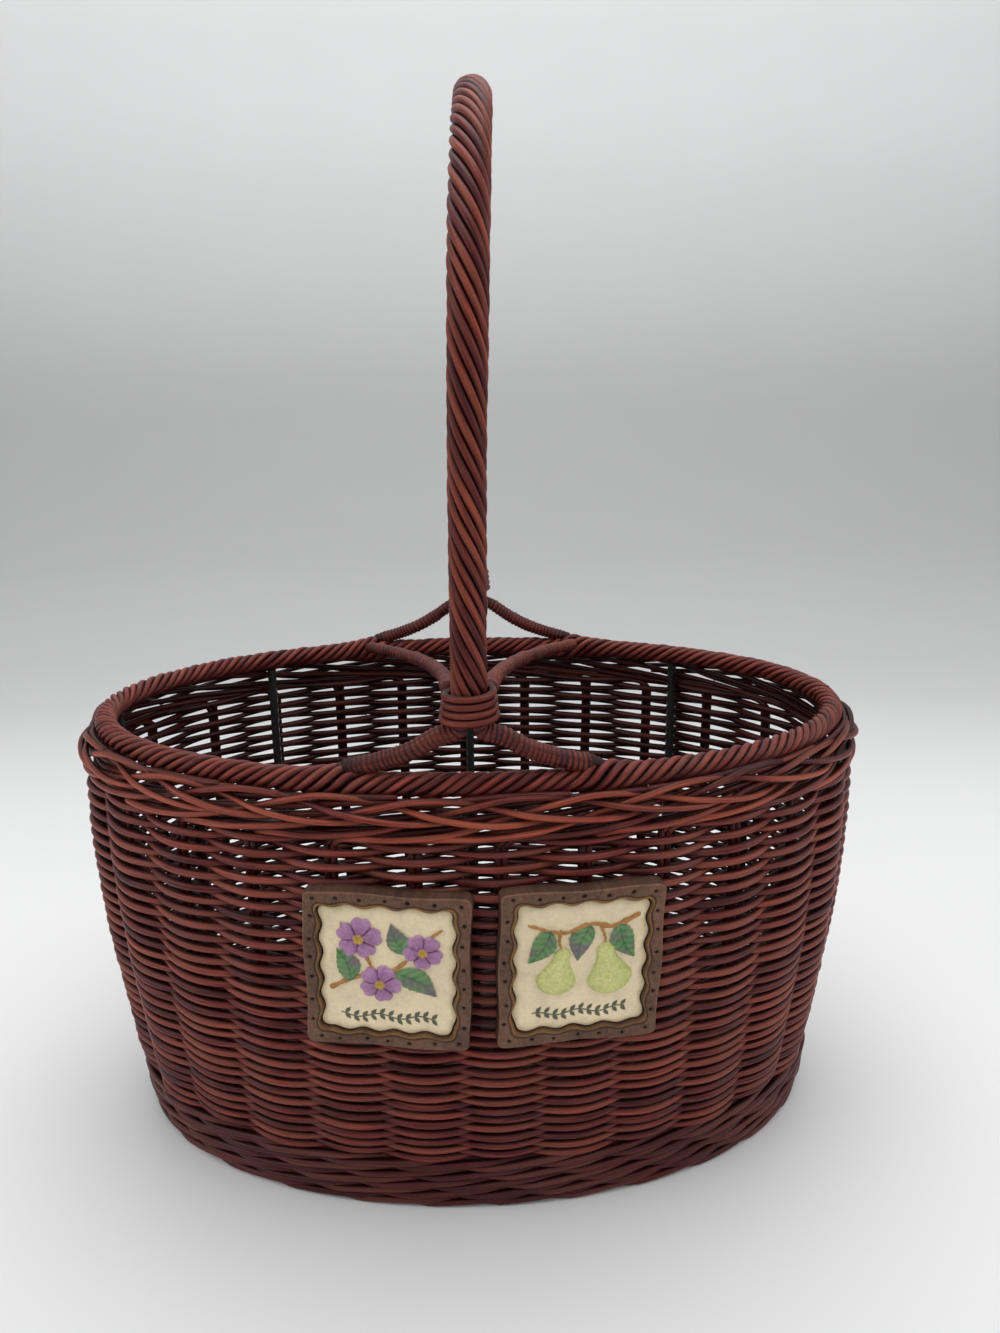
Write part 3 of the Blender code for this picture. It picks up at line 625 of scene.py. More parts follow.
class BASKET_OT_base(bpy.types.Operator):
    """Weave the floor: rounds over and under sticks that run from the edge to a narrow middle"""
    bl_idname = "basket.base"
    bl_label = "Base"

    def execute(self, context):
        low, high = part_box("base_panel")
        level = (low.z + high.z) / 2.0
        inward = np.array([*BASE_CORE_SHARES, 1.0]) - 1.0

        def on_floor(number, share, height):
            """Points at a stake's number, a share of the way in to the narrow middle, this far above the level."""
            edge = oval(stake_share(number), BASE_OFFSET, 0.0) - CENTRE
            return CENTRE + edge * (1.0 + np.multiply.outer(share, inward)) + np.multiply.outer(level + height, UP)

        rods = Bundle(7)
        for i in range(BASE_ROUNDS):
            number = np.linspace(-0.4, STAKES + 0.4, 6 * (STAKES + 1))
            share = (i + 0.5) / BASE_ROUNDS
            wave = in_row(number - i) * (1.0 - share ** 3)
            # crest paints shade where a round passes under a stick, and on the sticks and long rods
            rods.lay(on_floor(number, share, BASE_SWING * wave), BASE_ROD,
                     float(np.random.default_rng(700 + i).uniform(0.0, 0.8)), away=UP, crest=(1.0 + wave) / 2.0,
                     inner=0.4)
        for k in range(STAKES):
            rods.lay(on_floor(k, np.linspace(0.0, 0.985, 12), 0.0), BASE_STICK, 0.3, away=UP, crest=0.4)
        reach = BASE_CORE_SHARES[0] * (HALF_LENGTH + BASE_OFFSET)
        for way in (-1.0, 0.0, 1.0):
            line = (CENTRE + np.multiply.outer(np.linspace(-1.0, 1.0, 14) * reach, [1.0, 0.0, 0.0])
                    + [0.0, way * LONG_RODS_APART, level - 0.0003])
            rods.lay(line, BASE_LONG_ROD, 0.5 + 0.2 * way, away=UP, crest=0.7)
        rods.finish("woven_base", "foot_wicker", "foot", ("base_panel",))
        return {"FINISHED"}


# The border. Each rod's way: stakes past its own, height against the top of the wall, offset from the oval
BORDER_OUTER = (
    (0.00, -0.0060, 0.0062), (0.00, -0.0022, 0.0062), (0.08, 0.0016, 0.0074), (0.28, 0.0034, 0.0094),
    (0.75, 0.0040, 0.0103), (1.25, 0.0054, 0.0101), (1.65, 0.0073, 0.0088), (2.00, 0.0100, 0.0070),
    (2.30, 0.0128, 0.0074), (2.60, 0.0159, 0.0087), (2.90, 0.0181, 0.0086), (3.10, 0.0186, 0.0082),
    (3.40, 0.0179, 0.0070), (3.75, 0.0159, 0.0060), (4.00, 0.0145, 0.0076), (4.35, 0.0127, 0.0106),
    (4.80, 0.0106, 0.0113), (5.15, 0.0095, 0.0107), (5.45, 0.0090, 0.0085), (5.70, 0.0092, 0.0062))
BORDER_INNER = (
    (0.00, -0.0060, 0.0062), (0.02, -0.0007, 0.0060), (0.20, 0.0026, 0.0058), (0.70, 0.0034, 0.0056),
    (1.40, 0.0052, 0.0052), (2.20, 0.0082, 0.0050), (3.00, 0.0114, 0.0050), (3.70, 0.0144, 0.0053),
    (4.30, 0.0167, 0.0057), (4.90, 0.0179, 0.0061), (5.50, 0.0182, 0.0063))
BORDER_SCALE = np.array([1.0, 100.0, 100.0])    # a stake's spacing and a centimetre count as equally far


def border_rod(rods, route, count, stake, way, size):
    """One of the two rods of a stake, laid to the right along the border."""
    seed = 300 + 10 * stake + int(way)
    chance = np.random.default_rng(seed)
    stretch, rise = chance.uniform(0.95, 1.06), chance.uniform(0.95, 1.04)
    along, up, offset = (smooth_line(np.array(route) * BORDER_SCALE, count) / BORDER_SCALE).T
    number = stake + along * stretch
    free = np.clip(along / 0.4, 0.0, 1.0)
    z = WALL_TOP + up * rise + drift(seed + 1, number * 1.3, 0.00035) * free
    z = np.minimum(z, BORDER_TOP + 0.0012 - size.border_rod / 2.0)
    offset = offset + drift(seed + 2, number * 1.3, 0.00022) * free
    share = stake_share(number) + way * size.stake / 2.0 / OVAL_LENGTH * (1.0 - free)
    thick = size.border_rod / 2.0 * chance.uniform(0.92, 1.04) * (1.0 - 0.10 * np.clip(along / 5.7, 0.0, 1.0))
    # crest paints shade on the rods that lie further in
    rods.lay(oval(share, offset, z), thick, float(chance.uniform(0.1, 1.0)),
             crest=0.25 + 0.75 * np.clip((offset - 0.0052) / 0.0046, 0.0, 1.0))


class BASKET_OT_border(bpy.types.Operator):
    """Roll the border: each stake's ends are laid to the right, up behind the next and down over the last"""
    bl_idname = "basket.border"
    bl_label = "Border"

    def execute(self, context):
        rods = Bundle(10)
        for k in range(STAKES):
            for route, count, way in ((BORDER_OUTER, 84, 1.0), (BORDER_INNER, 64, -1.0)):
                border_rod(rods, route, count, k, way, sizes())
        rods.finish("border_rods", "border_wicker", "border", ("rolled_border",))
        return {"FINISHED"}


# Rope and handle. Where there are two values, they are by side: the front (-1) and the back (1)
ROPE_ROD, ROPE_REACH = 0.00150, 0.0033
ROPE_SWELL_OUT, ROPE_SWELL_UP, ROPE_LIFT = 0.0009, 0.0024, 0.0006   # how much more it is at the end of a leg
LEG_SPREAD = {-1: 0.0415, 1: 0.0485}
LEG_RUN_ON = (0.0045, 0.0095)      # how far a leg runs on into the rope


def rope_swell(share):
    """How much the rope swells where it takes in the end of a leg, from 0 to 1."""
    swell = np.zeros_like(share)
    for side, spread in LEG_SPREAD.items():
        for way in (-1, 1):
            place = share_at_x(spread + LEG_RUN_ON[0], side)
            place = place if way > 0 else (0.5 - place) % 1.0
            beyond = ((share - place + 0.5) % 1.0 - 0.5) * OVAL_LENGTH * way * -side
            swell = np.maximum(swell, np.where(beyond > 0.0, np.exp(-(beyond / 0.0125) ** 1.4),
                                               np.exp(-(beyond / 0.0042) ** 2)))
    return swell


def twist(line, first, second, rods, turns, reach, tall):
    """The lines of rods twisted round a middle line, this far from it along the first and second directions."""
    for k in range(rods):
        angle = turns + math.tau * k / rods
        yield line + (reach * np.cos(angle))[:, None] * first + (tall * np.sin(angle))[:, None] * second


class BASKET_OT_rope(bpy.types.Operator):
    """Twist the rods round the rim's wire hoop"""
    bl_idname = "basket.rope"
    bl_label = "Rim rope"

    def execute(self, context):
        size = sizes()
        turns_round = round(OVAL_LENGTH / size.rope_lay)
        share = np.linspace(0.0, 1.0, turns_round * 20 + 1)
        swell = rope_swell(share)
        line = oval(share, 0.0, ROPE_HEIGHT + ROPE_LIFT * swell)
        turns = math.tau * turns_round * share + drift(41, share * 40.0, 0.30) * np.sin(math.pi * share)
        rods = Bundle(9)
        for k, rod in enumerate(twist(line, outward(share), UP, size.rope_rods, turns,
                                      ROPE_REACH + ROPE_SWELL_OUT * swell, ROPE_REACH + ROPE_SWELL_UP * swell)):
            # Shade is painted on the side of each rod that faces the rope's middle
            away = unit(rod - line)
            rod = rod + drift(50 + k, share * 90.0, 0.00020)[:, None] * UP
            rods.lay(rod, ROPE_ROD * (1.0 + 0.14 * swell), 0.25 + 0.5 * ((k * 0.37) % 1.0), away=away)
        rods.finish("rim_rope", "rope_wicker", "rope",
                    ("rim_rope_front", "rim_rope_right", "rim_rope_back", "rim_rope_left"))
        return {"FINISHED"}


HANDLE_RADIUS = 0.0068
HANDLE_LAY_RADIUS = 0.0052         # where the slant of its rods is taken
HANDLE_LEAN = 0.0045
HANDLE_SWELL = 0.09
SWELL_FROM, SWELL_TO = 0.30, 0.41  # the heights between which it swells
ARCH_TOP = 0.4405
ARCH_SPRING_SHARE = 0.455
ARCH_POWER = 2.15
FOOT_BELOW_COLLAR = 0.0055
COLLAR_TURNS, COLLAR_PITCH, COLLAR_ROD, COLLAR_ROOM = 4, 0.00285, 0.0012, 0.0005
COLLAR_FLARE = {-1: 0.0015, 1: 0.0010}
SIDES = {-1: "front", 1: "back"}
HANDS = {-1: "left", 1: "right"}


def collar_height(side):
    """The middle of the collar at the front (-1) or the back (1)."""
    low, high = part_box(SIDES[side] + "_collar")
    return (low.z + high.z) / 2.0


def arch_line(count):
    """Evenly spaced points up from the front foot, over the top and down to the back foot."""
    base = collar_height(-1)
    spring = base + (ARCH_TOP - base) * ARCH_SPRING_SHARE
    angle = np.linspace(0.0, math.pi, 400)
    c, s = np.cos(angle), np.clip(np.sin(angle), 0.0, 1.0)
    y = -HALF_WIDTH * np.array([1.0, *(np.sign(c) * np.abs(c) ** (2.0 / ARCH_POWER)), -1.0])
    z = np.array([base - FOOT_BELOW_COLLAR, *(spring + (ARCH_TOP - spring) * s ** (2.0 / ARCH_POWER)),
                  collar_height(1) - FOOT_BELOW_COLLAR])
    run = run_of(np.stack([y, z], axis=-1))
    at = np.linspace(0.0, run[-1], count + 1)
    y, z = np.interp(at, run, y), np.interp(at, run, z)
    rise = np.clip((z - base) / (ARCH_TOP - base), 0.0, None)
    return np.stack([CENTRE_X + HANDLE_LEAN * rise ** 2, CENTRE_Y + y, z], axis=-1), at


class BASKET_OT_handle(bpy.types.Operator):
    """Twist the rods up and over the handle's core"""
    bl_idname = "basket.handle"
    bl_label = "Handle"

    def execute(self, context):
        size = sizes()
        line, run = arch_line(230)
        ahead = unit(np.gradient(line, axis=0))
        first = [1.0, 0.0, 0.0] - ahead * ahead[:, :1]
        slant = math.atan(math.tau * HANDLE_LAY_RADIUS / size.handle_lay)
        gap = math.pi / size.handle_rods * math.cos(slant)
        reach = HANDLE_RADIUS / (1.0 + gap) * (1.0 + HANDLE_SWELL * soft_step(line[:, 2], SWELL_FROM, SWELL_TO))
        turns = -math.tau * run / size.handle_lay + drift(71, run * 30.0, 0.16)
        rods = Bundle(9)
        for k, rod in enumerate(twist(line, first, np.cross(ahead, first), size.handle_rods, turns, reach, reach)):
            chance = np.random.default_rng(80 + k)
            thick = reach * gap * chance.uniform(0.94, 1.04) * (1.0 + drift(90 + k, run * 50.0, 0.03))
            # Shade is painted on the side of each rod that faces the handle's middle
            rods.lay(rod + first * drift(60 + k, run * 60.0, 0.00012)[:, None], thick,
                     float(chance.uniform(0.15, 0.85)), away=unit(rod - line))
        rods.finish("handle_rods", "rope_wicker", "handle", ("handle_twist",))
        return {"FINISHED"}


class BASKET_OT_collars(bpy.types.Operator):
    """Wind a rod round each foot of the handle"""
    bl_idname = "basket.collars"
    bl_label = "Collars"

    def execute(self, context):
        along = np.linspace(0.0, 1.0, COLLAR_TURNS * 28 + 1)
        angle = math.tau * COLLAR_TURNS * along + math.pi / 2.0
        way = np.stack([np.cos(angle), np.sin(angle), 0.0 * angle], axis=-1)
        for side, word in SIDES.items():
            out = HANDLE_RADIUS + COLLAR_ROOM + COLLAR_ROD + COLLAR_FLARE[side] * (1.0 - along)
            z = collar_height(side) + COLLAR_TURNS * COLLAR_PITCH * (along - 0.5)
            line = CENTRE + [0.0, side * HALF_WIDTH, 0.0] + out[:, None] * way + z[:, None] * UP
            rods = Bundle(10)
            # Shade is painted on the inner side of the winding
            rods.lay(line, COLLAR_PITCH / 2.0 * 0.99, 0.38, away=way)
            rods.finish(word + "_collar_winding", "rope_wicker", "handle", (word + "_collar",))
        return {"FINISHED"}


# Legs and braces: how far out and how far down, from a collar to the rope
LEG_OUT = {-1: (0.0, 0.021, 0.064, 0.120, 0.184, 0.280, 0.411, 0.560, 0.709, 0.853, 1.0),
           1: (0.0, 0.018, 0.049, 0.108, 0.180, 0.270, 0.389, 0.575, 0.764, 0.888, 1.0)}
LEG_DROP = {-1: (0.0, 0.065, 0.123, 0.161, 0.206, 0.323, 0.523, 0.684, 0.813, 0.923, 1.0),
            1: (0.0, 0.053, 0.106, 0.163, 0.235, 0.364, 0.526, 0.727, 0.871, 0.943, 1.0)}
LEG_RADIUS = {-1: 0.00365, 1: 0.0033}
LEG_IN_COLLAR = 0.0040
LEG_BELOW_FOOT = 0.0032
LEG_ABOVE_HOOP = 0.0013
LEG_SINKS = (0.0009, 0.0038)       # how much lower a leg is where it runs on into the rope
LEG_TAPER = 0.0014
BRACE_ALONG = (0.0, 0.17, 0.34, 0.51, 0.68, 0.85, 1.0)
BRACE_OUT = (0.0, 0.04, 0.13, 0.26, 0.45, 0.71, 1.0)
BRACE_RADIUS = 0.0028
BRACE_STRIP = 2.4                  # the braces' strips are wider than the legs' by this much
BRACE_START, BRACE_END = 0.0078, 0.0570    # how far to the side a brace starts and ends
BRACE_ABOVE = 0.0035               # how far above the collar's middle and above the rope's it runs
BRACE_INSIDE_RIM = -0.0081


def wrapped(bundle, points, radius, strip, seed, taper=0.0):
    """A rod wound from end to end with split willow, its turns a little uneven, thinner by taper at its end."""
    length = float(run_of(smooth_line(points, 60))[-1])
    turns = np.random.default_rng(seed).uniform(0.45, 1.0, int(length / strip) + 8)

    def ridges(run, turn):
        place = run / strip - turn / math.tau + drift(seed, run * 160.0, 0.30) + 2.0
        tall = np.interp(np.floor(place) + turn / math.tau, np.arange(len(turns)), turns)
        height = 0.00062 * math.sqrt(strip / 0.0020) * tall * np.abs(np.sin(math.pi * place)) ** 0.75
        height = height + drift(seed + 1, run * 150.0, 0.0001)
        return height - taper * soft_step(run, length - 0.012, length - 0.001)

    # all_round: shade is painted in the grooves between the turns, by the ridges' height
    bundle.lay(smooth_line(points, int(length / strip * 9)), radius - 0.0004, 0.3 + 0.5 * ((seed * 0.37) % 1.0),
               ridges=ridges, all_round=True)


class BASKET_OT_legs(bpy.types.Operator):
    """Set the wrapped legs of the handle and the braces to the far rim"""
    bl_idname = "basket.legs"
    bl_label = "Legs and braces"

    def execute(self, context):
        strip = sizes().wrap
        for side, word in SIDES.items():
            spread, radius = LEG_SPREAD[side], LEG_RADIUS[side]
            start = collar_height(side) - FOOT_BELOW_COLLAR - LEG_BELOW_FOOT
            end = ROPE_HEIGHT + WIRE_HOOP_RADIUS + LEG_ABOVE_HOOP + radius
            way_down = [(LEG_IN_COLLAR + (spread - LEG_IN_COLLAR) * out, start + (end - start) * drop)
                        for out, drop in zip(LEG_OUT[side], LEG_DROP[side])]
            way_down += [(spread + on, end - sink) for on, sink in zip(LEG_RUN_ON, LEG_SINKS)]
            for way, hand in HANDS.items():
                points = [(CENTRE_X + way * (LEG_IN_COLLAR - 0.0006), CENTRE_Y + side * HALF_WIDTH, start + 0.0040)]
                points += [(CENTRE_X + way * x, oval(share_at_x(x, side), 0.0, z)[1], z) for x, z in way_down]
                bundle = Bundle(20)
                wrapped(bundle, points, radius, strip, 11 + side + 3 * way, LEG_TAPER)
                node = "%s_leg_%s" % (word, hand)
                bundle.finish(node + "_wrapped", "rope_wicker", "wrap", (node,))
        for way, hand in HANDS.items():
            node = "brace_" + hand
            start = np.array([CENTRE_X + way * BRACE_START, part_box(node)[0].y, collar_height(-1) + BRACE_ABOVE])
            end = oval(share_at_x(BRACE_END, 1), BRACE_INSIDE_RIM, ROPE_HEIGHT + BRACE_ABOVE)
            end[0] = CENTRE_X + way * abs(end[0] - CENTRE_X)
            points = [start + (end - start) * np.array([out, along, along])
                      for along, out in zip(BRACE_ALONG, BRACE_OUT)]
            bundle = Bundle(18)
            wrapped(bundle, points, BRACE_RADIUS, strip * BRACE_STRIP, 31 + way)
            bundle.finish(node + "_wrapped", "rope_wicker", "wrap", (node,))
        return {"FINISHED"}


class BASKET_OT_wires(bpy.types.Operator):
    """Give the wire frame and the handle's core their finishes"""
    bl_idname = "basket.wires"
    bl_label = "Wire frame"

    def execute(self, context):
        for name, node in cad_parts.items():
            if name.startswith("frame_upright") or name in ("rim_hoop", "handle_core"):
                node.data.materials.clear()
                node.data.materials.append(finish_of("foot" if name == "handle_core" else "wire"))
        return {"FINISHED"}


# The stage
CAMERA_PLACE = (0.0035, -0.4428, 0.334)        # from the middle of the rim oval's plan
CAMERA_DOWN, CAMERA_YAW, CAMERA_ROLL = 0.2747, 0.0223, -0.0091
CAMERA_SENSOR = 36.0
PHOTO_FOCAL, PHOTO_TALL = 1000.0, 1333.0
SWEEP_FRONT, SWEEP_START, SWEEP_RADIUS, SWEEP_TOP, SWEEP_WIDTH = -4.0, 1.5, 1.3, 5.0, 10.0
SWEEP_BACK = SWEEP_START + SWEEP_RADIUS
SWEEP_STEPS = 24
# Painted shade on the sweep: how pale it is painted, by distance behind the basket, darkest where the floor turns up
BACKDROP_PAINTED_SHADE = ((0.17, 1.0), (0.33, 0.90), (0.48, 0.78), (0.61, 0.67), (0.78, 0.63), (1.36, 0.61), (2.13, 0.56),
                   (2.28, 0.56), (2.40, 0.59), (2.50, 0.65), (2.58, 0.71), (2.65, 0.77), (2.70, 0.82),
                   (2.74, 0.87), (2.77, 0.93), (2.80, 1.0))
# Name, place, what it points at, power, width and height
LIGHTS = (("overhead", (0.04, 0.00, 1.60), (0.0, 0.0, 0.1), 18.5, 1.6, 1.4),
          ("front", (0.10, -1.50, 1.05), (0.0, 0.0, 0.15), 2.8, 1.4, 0.6),
          ("left", (-1.35, -0.45, 0.80), (0.0, 0.0, 0.12), 6.6, 0.9, 0.9),
          ("right", (1.35, -0.35, 0.80), (0.0, 0.0, 0.12), 5.5, 0.9, 0.9),
          ("backdrop", (0.0, 1.7, 2.6), (0.0, 2.8, 1.5), 57.0, 6.0, 0.8))


def sweep_backdrop():
    """A floor that curves up into the backdrop, so no line shows between them."""
    turn = np.linspace(0.0, math.pi / 2.0, SWEEP_STEPS + 1)
    y = [SWEEP_FRONT, 0.0, *(SWEEP_START + SWEEP_RADIUS * np.sin(turn)), SWEEP_BACK]
    z = [0.0, 0.0, *(SWEEP_RADIUS * (1.0 - np.cos(turn))), SWEEP_TOP]
    bm = bmesh.new()
    add_sheet(bm, np.array([[(x, *point) for point in zip(y, z)] for x in (-SWEEP_WIDTH / 2.0, SWEEP_WIDTH / 2.0)]))
    f = Finish("pale floor", 0.75)
    colour = colours().floor
    cloudy = f.ramp(f.noise(f.place(), 5.0), [(0.3, duller(colour, 0.985)), (0.7, colour)])
    back = f.add("ShaderNodeSeparateXYZ", None, f.place(), out="Y") * (1.0 / SWEEP_BACK)
    # Painted shade along the sweep, darkest where the floor turns up
    backdrop_painted_shade = f.ramp(back, [(y / SWEEP_BACK, (v, v, v)) for y, v in BACKDROP_PAINTED_SHADE])
    f.colour(f.mix(1.0, cloudy, backdrop_painted_shade, "MULTIPLY"))
    smooth_object(bm, "floor", f.material)


def studio_world():
    """Dim, even light, and a plain grey where the camera or a reflection sees past the floor."""
    world = bpy.data.worlds.new("studio")
    world.use_nodes = True
    tree = world.node_tree
    tree.nodes.clear()
    n = Nodes(tree)
    camera, glossy, through = (n.add("ShaderNodeLightPath", out="Is %s Ray" % kind)
                               for kind in ("Camera", "Glossy", "Transmission"))
    either = {"operation": "ADD", "use_clamp": True}
    seen = n.add("ShaderNodeMath", either, n.add("ShaderNodeMath", either, camera, glossy), through)
    mixed = n.add("ShaderNodeMixShader", None, seen, n.add("ShaderNodeBackground", None, (0.80, 0.82, 0.85), 0.37),
                  n.add("ShaderNodeBackground", None, gamma(180, 180, 178), 1.0))
    n.feed(tree.nodes.new("ShaderNodeOutputWorld").inputs["Surface"], mixed)
    return world


def placed(name, data, matrix):
    """Links a light or a camera at its place."""
    obj = bpy.data.objects.new(name, data)
    bpy.context.scene.collection.objects.link(obj)
    obj.matrix_world = matrix
    return obj


class BASKET_OT_stage(bpy.types.Operator):
    """Set the floor, the soft light, the background and the camera"""
    bl_idname = "basket.stage"
    bl_label = "Stage"

    def execute(self, context):
        scene = context.scene
        sweep_backdrop()
        scene.world = studio_world()
        for name, place, aim, power, width, height in LIGHTS:
            light = bpy.data.lights.new(name, "AREA")
            light.shape, light.size, light.size_y, light.energy = "RECTANGLE", width, height, power
            way = (Vector(aim) - Vector(place)).to_track_quat("-Z", "Y")
            placed(name, light, Matrix.Translation(place) @ way.to_matrix().to_4x4())
        data = bpy.data.cameras.new("camera")
        data.sensor_fit, data.sensor_height = "VERTICAL", CAMERA_SENSOR
        data.lens = PHOTO_FOCAL / PHOTO_TALL * CAMERA_SENSOR
        data.clip_start = 0.01
        # It looks down, a little to the right, and is hardly rolled
        turn = (Matrix.Rotation(-CAMERA_YAW, 4, "Z") @ Matrix.Rotation(math.pi / 2.0 - CAMERA_DOWN, 4, "X")
                @ Matrix.Rotation(CAMERA_ROLL, 4, "Z"))
        scene.camera = placed("camera", data, Matrix.Translation((CENTRE + CAMERA_PLACE).tolist()) @ turn)
        scene.view_settings.view_transform = "Standard"
        return {"FINISHED"}


# The plaques: sizes of one, and where they hang
PLAQUE_HALF = np.array([0.0310, 0.03275])
PLAQUE_THICK, PLAQUE_BORDER, PANEL_THICK = 0.0060, 0.0058, 0.0046
PANEL_ROOM = 0.0004                # between a panel and its frame
PLAQUE_HEIGHT_SHARE = 0.703
PLAQUE_LEAN = 3.0
PLAQUES = {"left": (-0.0300, -1.7), "right": (0.0375, -1.0)}
INNER_CORNER, OUTER_CORNER = 0.0030, 0.0026
INNER_WAVES = (0.00075, 17)        # how high the waves of the inner edge are, and how many
OUTER_WAVES = (0.0004, 6)
# Across the frame, from its outer to its inner edge and back: share of its width, share of its thickness
FRAME_SECTION = np.array([
    (0.0, 0.0), (0.0, 0.35), (0.0, 0.70), (0.0, 0.90), (0.015, 0.965), (0.045, 0.995), (0.12, 1.0), (0.21, 1.0),
    (0.27, 1.0), (0.32, 1.0), (0.36, 1.0), (0.40, 1.0), (0.44, 1.0), (0.48, 1.0), (0.52, 1.0), (0.56, 1.0),
    (0.60, 0.995), (0.66, 0.985), (0.72, 0.965), (0.76, 0.93), (0.79, 0.93), (0.83, 0.985), (0.88, 1.01),
    (0.93, 0.98), (0.97, 0.90), (0.99, 0.80), (1.0, 0.60), (1.0, 0.0), (0.0, 0.0)])
PITS = 26
PIT_COLUMNS = (11, 12)             # the points of the section that they lie on
FRAME_STEPS, PANEL_POINTS = 900, 236


def plaque_place(word):
    """A plaque's own axes: across, up and out from the wall, from the middle of its back."""
    x, turn = PLAQUES[word]
    height = WALL_BOTTOM + (WALL_TOP - WALL_BOTTOM) * PLAQUE_HEIGHT_SHARE
    share = share_at_x(x, -1)
    way = outward(share)
    steps = np.array([-1.0, -0.5, 0.0, 0.5, 1.0]) * PLAQUE_HALF[1]
    stand = float(np.max(skin(height + steps) - math.sin(math.radians(PLAQUE_LEAN)) * steps))
    return (Matrix.Translation(oval(share, stand + 0.0006, height).tolist())
            @ Matrix.Rotation(math.atan2(way[0], -way[1]), 4, "Z")
            @ Matrix.Rotation(math.radians(90.0 + PLAQUE_LEAN), 4, "X")
            @ Matrix.Rotation(math.radians(turn), 4, "Z"))


def wavy_edge(half, corner, share, amount, waves, phase):
    """Points round a rectangle with round corners, its edge pressed in and out as if by hand, by share of the
    way round from the middle of its right side."""
    x, y = half - corner
    run = np.cumsum([0.0, *(2.0 * y, math.pi / 2.0 * corner, 2.0 * x, math.pi / 2.0 * corner) * 2])
    at = np.mod(np.mod(share, 1.0) * run[-1] + y, run[-1])
    angle = np.interp(at, run, np.array([0, 0, 1, 1, 2, 2, 3, 3, 4]) * math.pi / 2.0)
    middle = np.stack([np.interp(at, run, np.array([1, 1, 1, -1, -1, -1, -1, 1, 1]) * x),
                       np.interp(at, run, np.array([-1, 1, 1, 1, 1, -1, -1, -1, -1]) * y)], axis=-1)
    reach = corner + amount * np.sin(math.tau * waves * share + phase)
    return middle + np.stack([np.cos(angle), np.sin(angle)], axis=-1) * reach[:, None]


def speckle(seed, x, y, size):
    """Value noise: random heights on a square net, with smooth changes between them."""
    grid = np.random.default_rng(seed).uniform(-1.0, 1.0, (64, 64))
    x, y = x / size + 31.0, y / size + 31.0
    i, j = np.floor(x).astype(int), np.floor(y).astype(int)
    u, v = soft_step(x - i, 0.0, 1.0), soft_step(y - j, 0.0, 1.0)
    near, far = (grid[i % 64, (j + k) % 64] * (1 - u) + grid[(i + 1) % 64, (j + k) % 64] * u for k in (0, 1))
    return near * (1 - v) + far * v


def blend(first, second, share):
    share = np.clip(share, 0.0, 1.0)[..., None]
    return np.array(first) * (1.0 - share) + np.array(second) * share


def painted_sheet(place, paint):
    """A sheet through rows of places, with a colour at each."""
    bm = bmesh.new()
    layer = bm.verts.layers.float_color.new("paint")
    add_sheet(bm, place, ((layer, np.concatenate([paint, np.ones((*paint.shape[:2], 1))], axis=-1)),))
    return bm


def plaque_frame(seed, resin, ochre):
    """The brown frame: wavy edges, a pitted leathery face, and a thin ochre bead along its inner edge."""
    share = np.arange(FRAME_STEPS + 1) / FRAME_STEPS
    outer = wavy_edge(PLAQUE_HALF, OUTER_CORNER, share, *OUTER_WAVES, seed)
    inner = wavy_edge(PLAQUE_HALF - PLAQUE_BORDER, INNER_CORNER, share, *INNER_WAVES, seed * 1.7)
    across, height = FRAME_SECTION.T
    flat = outer[:, None, :] + (inner - outer)[:, None, :] * across[None, :, None]
    x, y = np.moveaxis(flat, -1, 0)
    face = soft_step(height, 0.9, 0.97) * (across < 0.74)
    grain = speckle(seed + 5, x, y, 0.00065) * 0.6 + speckle(seed + 6, x, y, 0.0016) * 0.4
    z = height * PLAQUE_THICK + face * (grain * 0.00016 + speckle(seed + 7, x, y, 0.006) * 0.00018)
    chance = np.random.default_rng(seed)
    pits = np.zeros_like(x)
    for k in range(PITS):
        at = int((k + 0.5 + chance.uniform(-0.12, 0.12)) / PITS * FRAME_STEPS) % FRAME_STEPS
        column = PIT_COLUMNS[chance.uniform() < 0.6]
        away = np.hypot(x - x[at, column], y - y[at, column])
        pits = np.maximum(pits, 1.0 - soft_step(away, 0.00045, 0.00095 * chance.uniform(0.85, 1.2)))
    z -= pits * face * 0.0009
    worn = np.clip(0.52 + grain * 0.42 + speckle(seed + 8, x, y, 0.009) * 0.3, 0.0, 1.0)[..., None]
    bead = soft_step(across, 0.76, 0.81) * (1.0 - soft_step(across, 0.965, 0.99))
    line = np.clip(0.75 + speckle(seed + 9, x, y, 0.003) * 0.5, 0.0, 1.0) * bead
    paint = blend(np.array(resin) * (0.42 + 0.85 * worn), ochre, line)
    # Painted shade in the groove beside the bead and down the sides, darker in the pits, and a painted highlight along
    # the outer edge
    groove = soft_step(across, 0.68, 0.74) * (1.0 - soft_step(across, 0.79, 0.83))
    side = 1.0 - soft_step(height, 0.90, 0.96) * (across < 0.9)
    wear_and_painted_light = np.exp(-((across - 0.03) / 0.03) ** 2) * (height > 0.92)
    shade = (1.0 - 0.55 * groove) * (1.0 - 0.88 * pits) * (1.0 - 0.45 * side + 0.35 * wear_and_painted_light)
    return painted_sheet(np.dstack([flat, z]), paint * shade[..., None])


# What is modelled on a panel. Each gives how far up it stands and its colour, for arrays of places in mm
LEAF_GREENS = (gamma(64, 108, 70), gamma(112, 146, 96))
LEAF_BLUSH = gamma(122, 98, 118)
TWIG_BROWNS = (gamma(112, 70, 36), gamma(178, 126, 66))
MAUVES = (gamma(120, 70, 112), gamma(186, 140, 178))
BUTTON_YELLOW = gamma(196, 158, 72)
PEAR_GREENS = (gamma(150, 160, 74), gamma(214, 214, 142))
VINE_DARK = gamma(46, 54, 40)
WORN_AND_SHADED_CREAM = gamma(176, 150, 100)


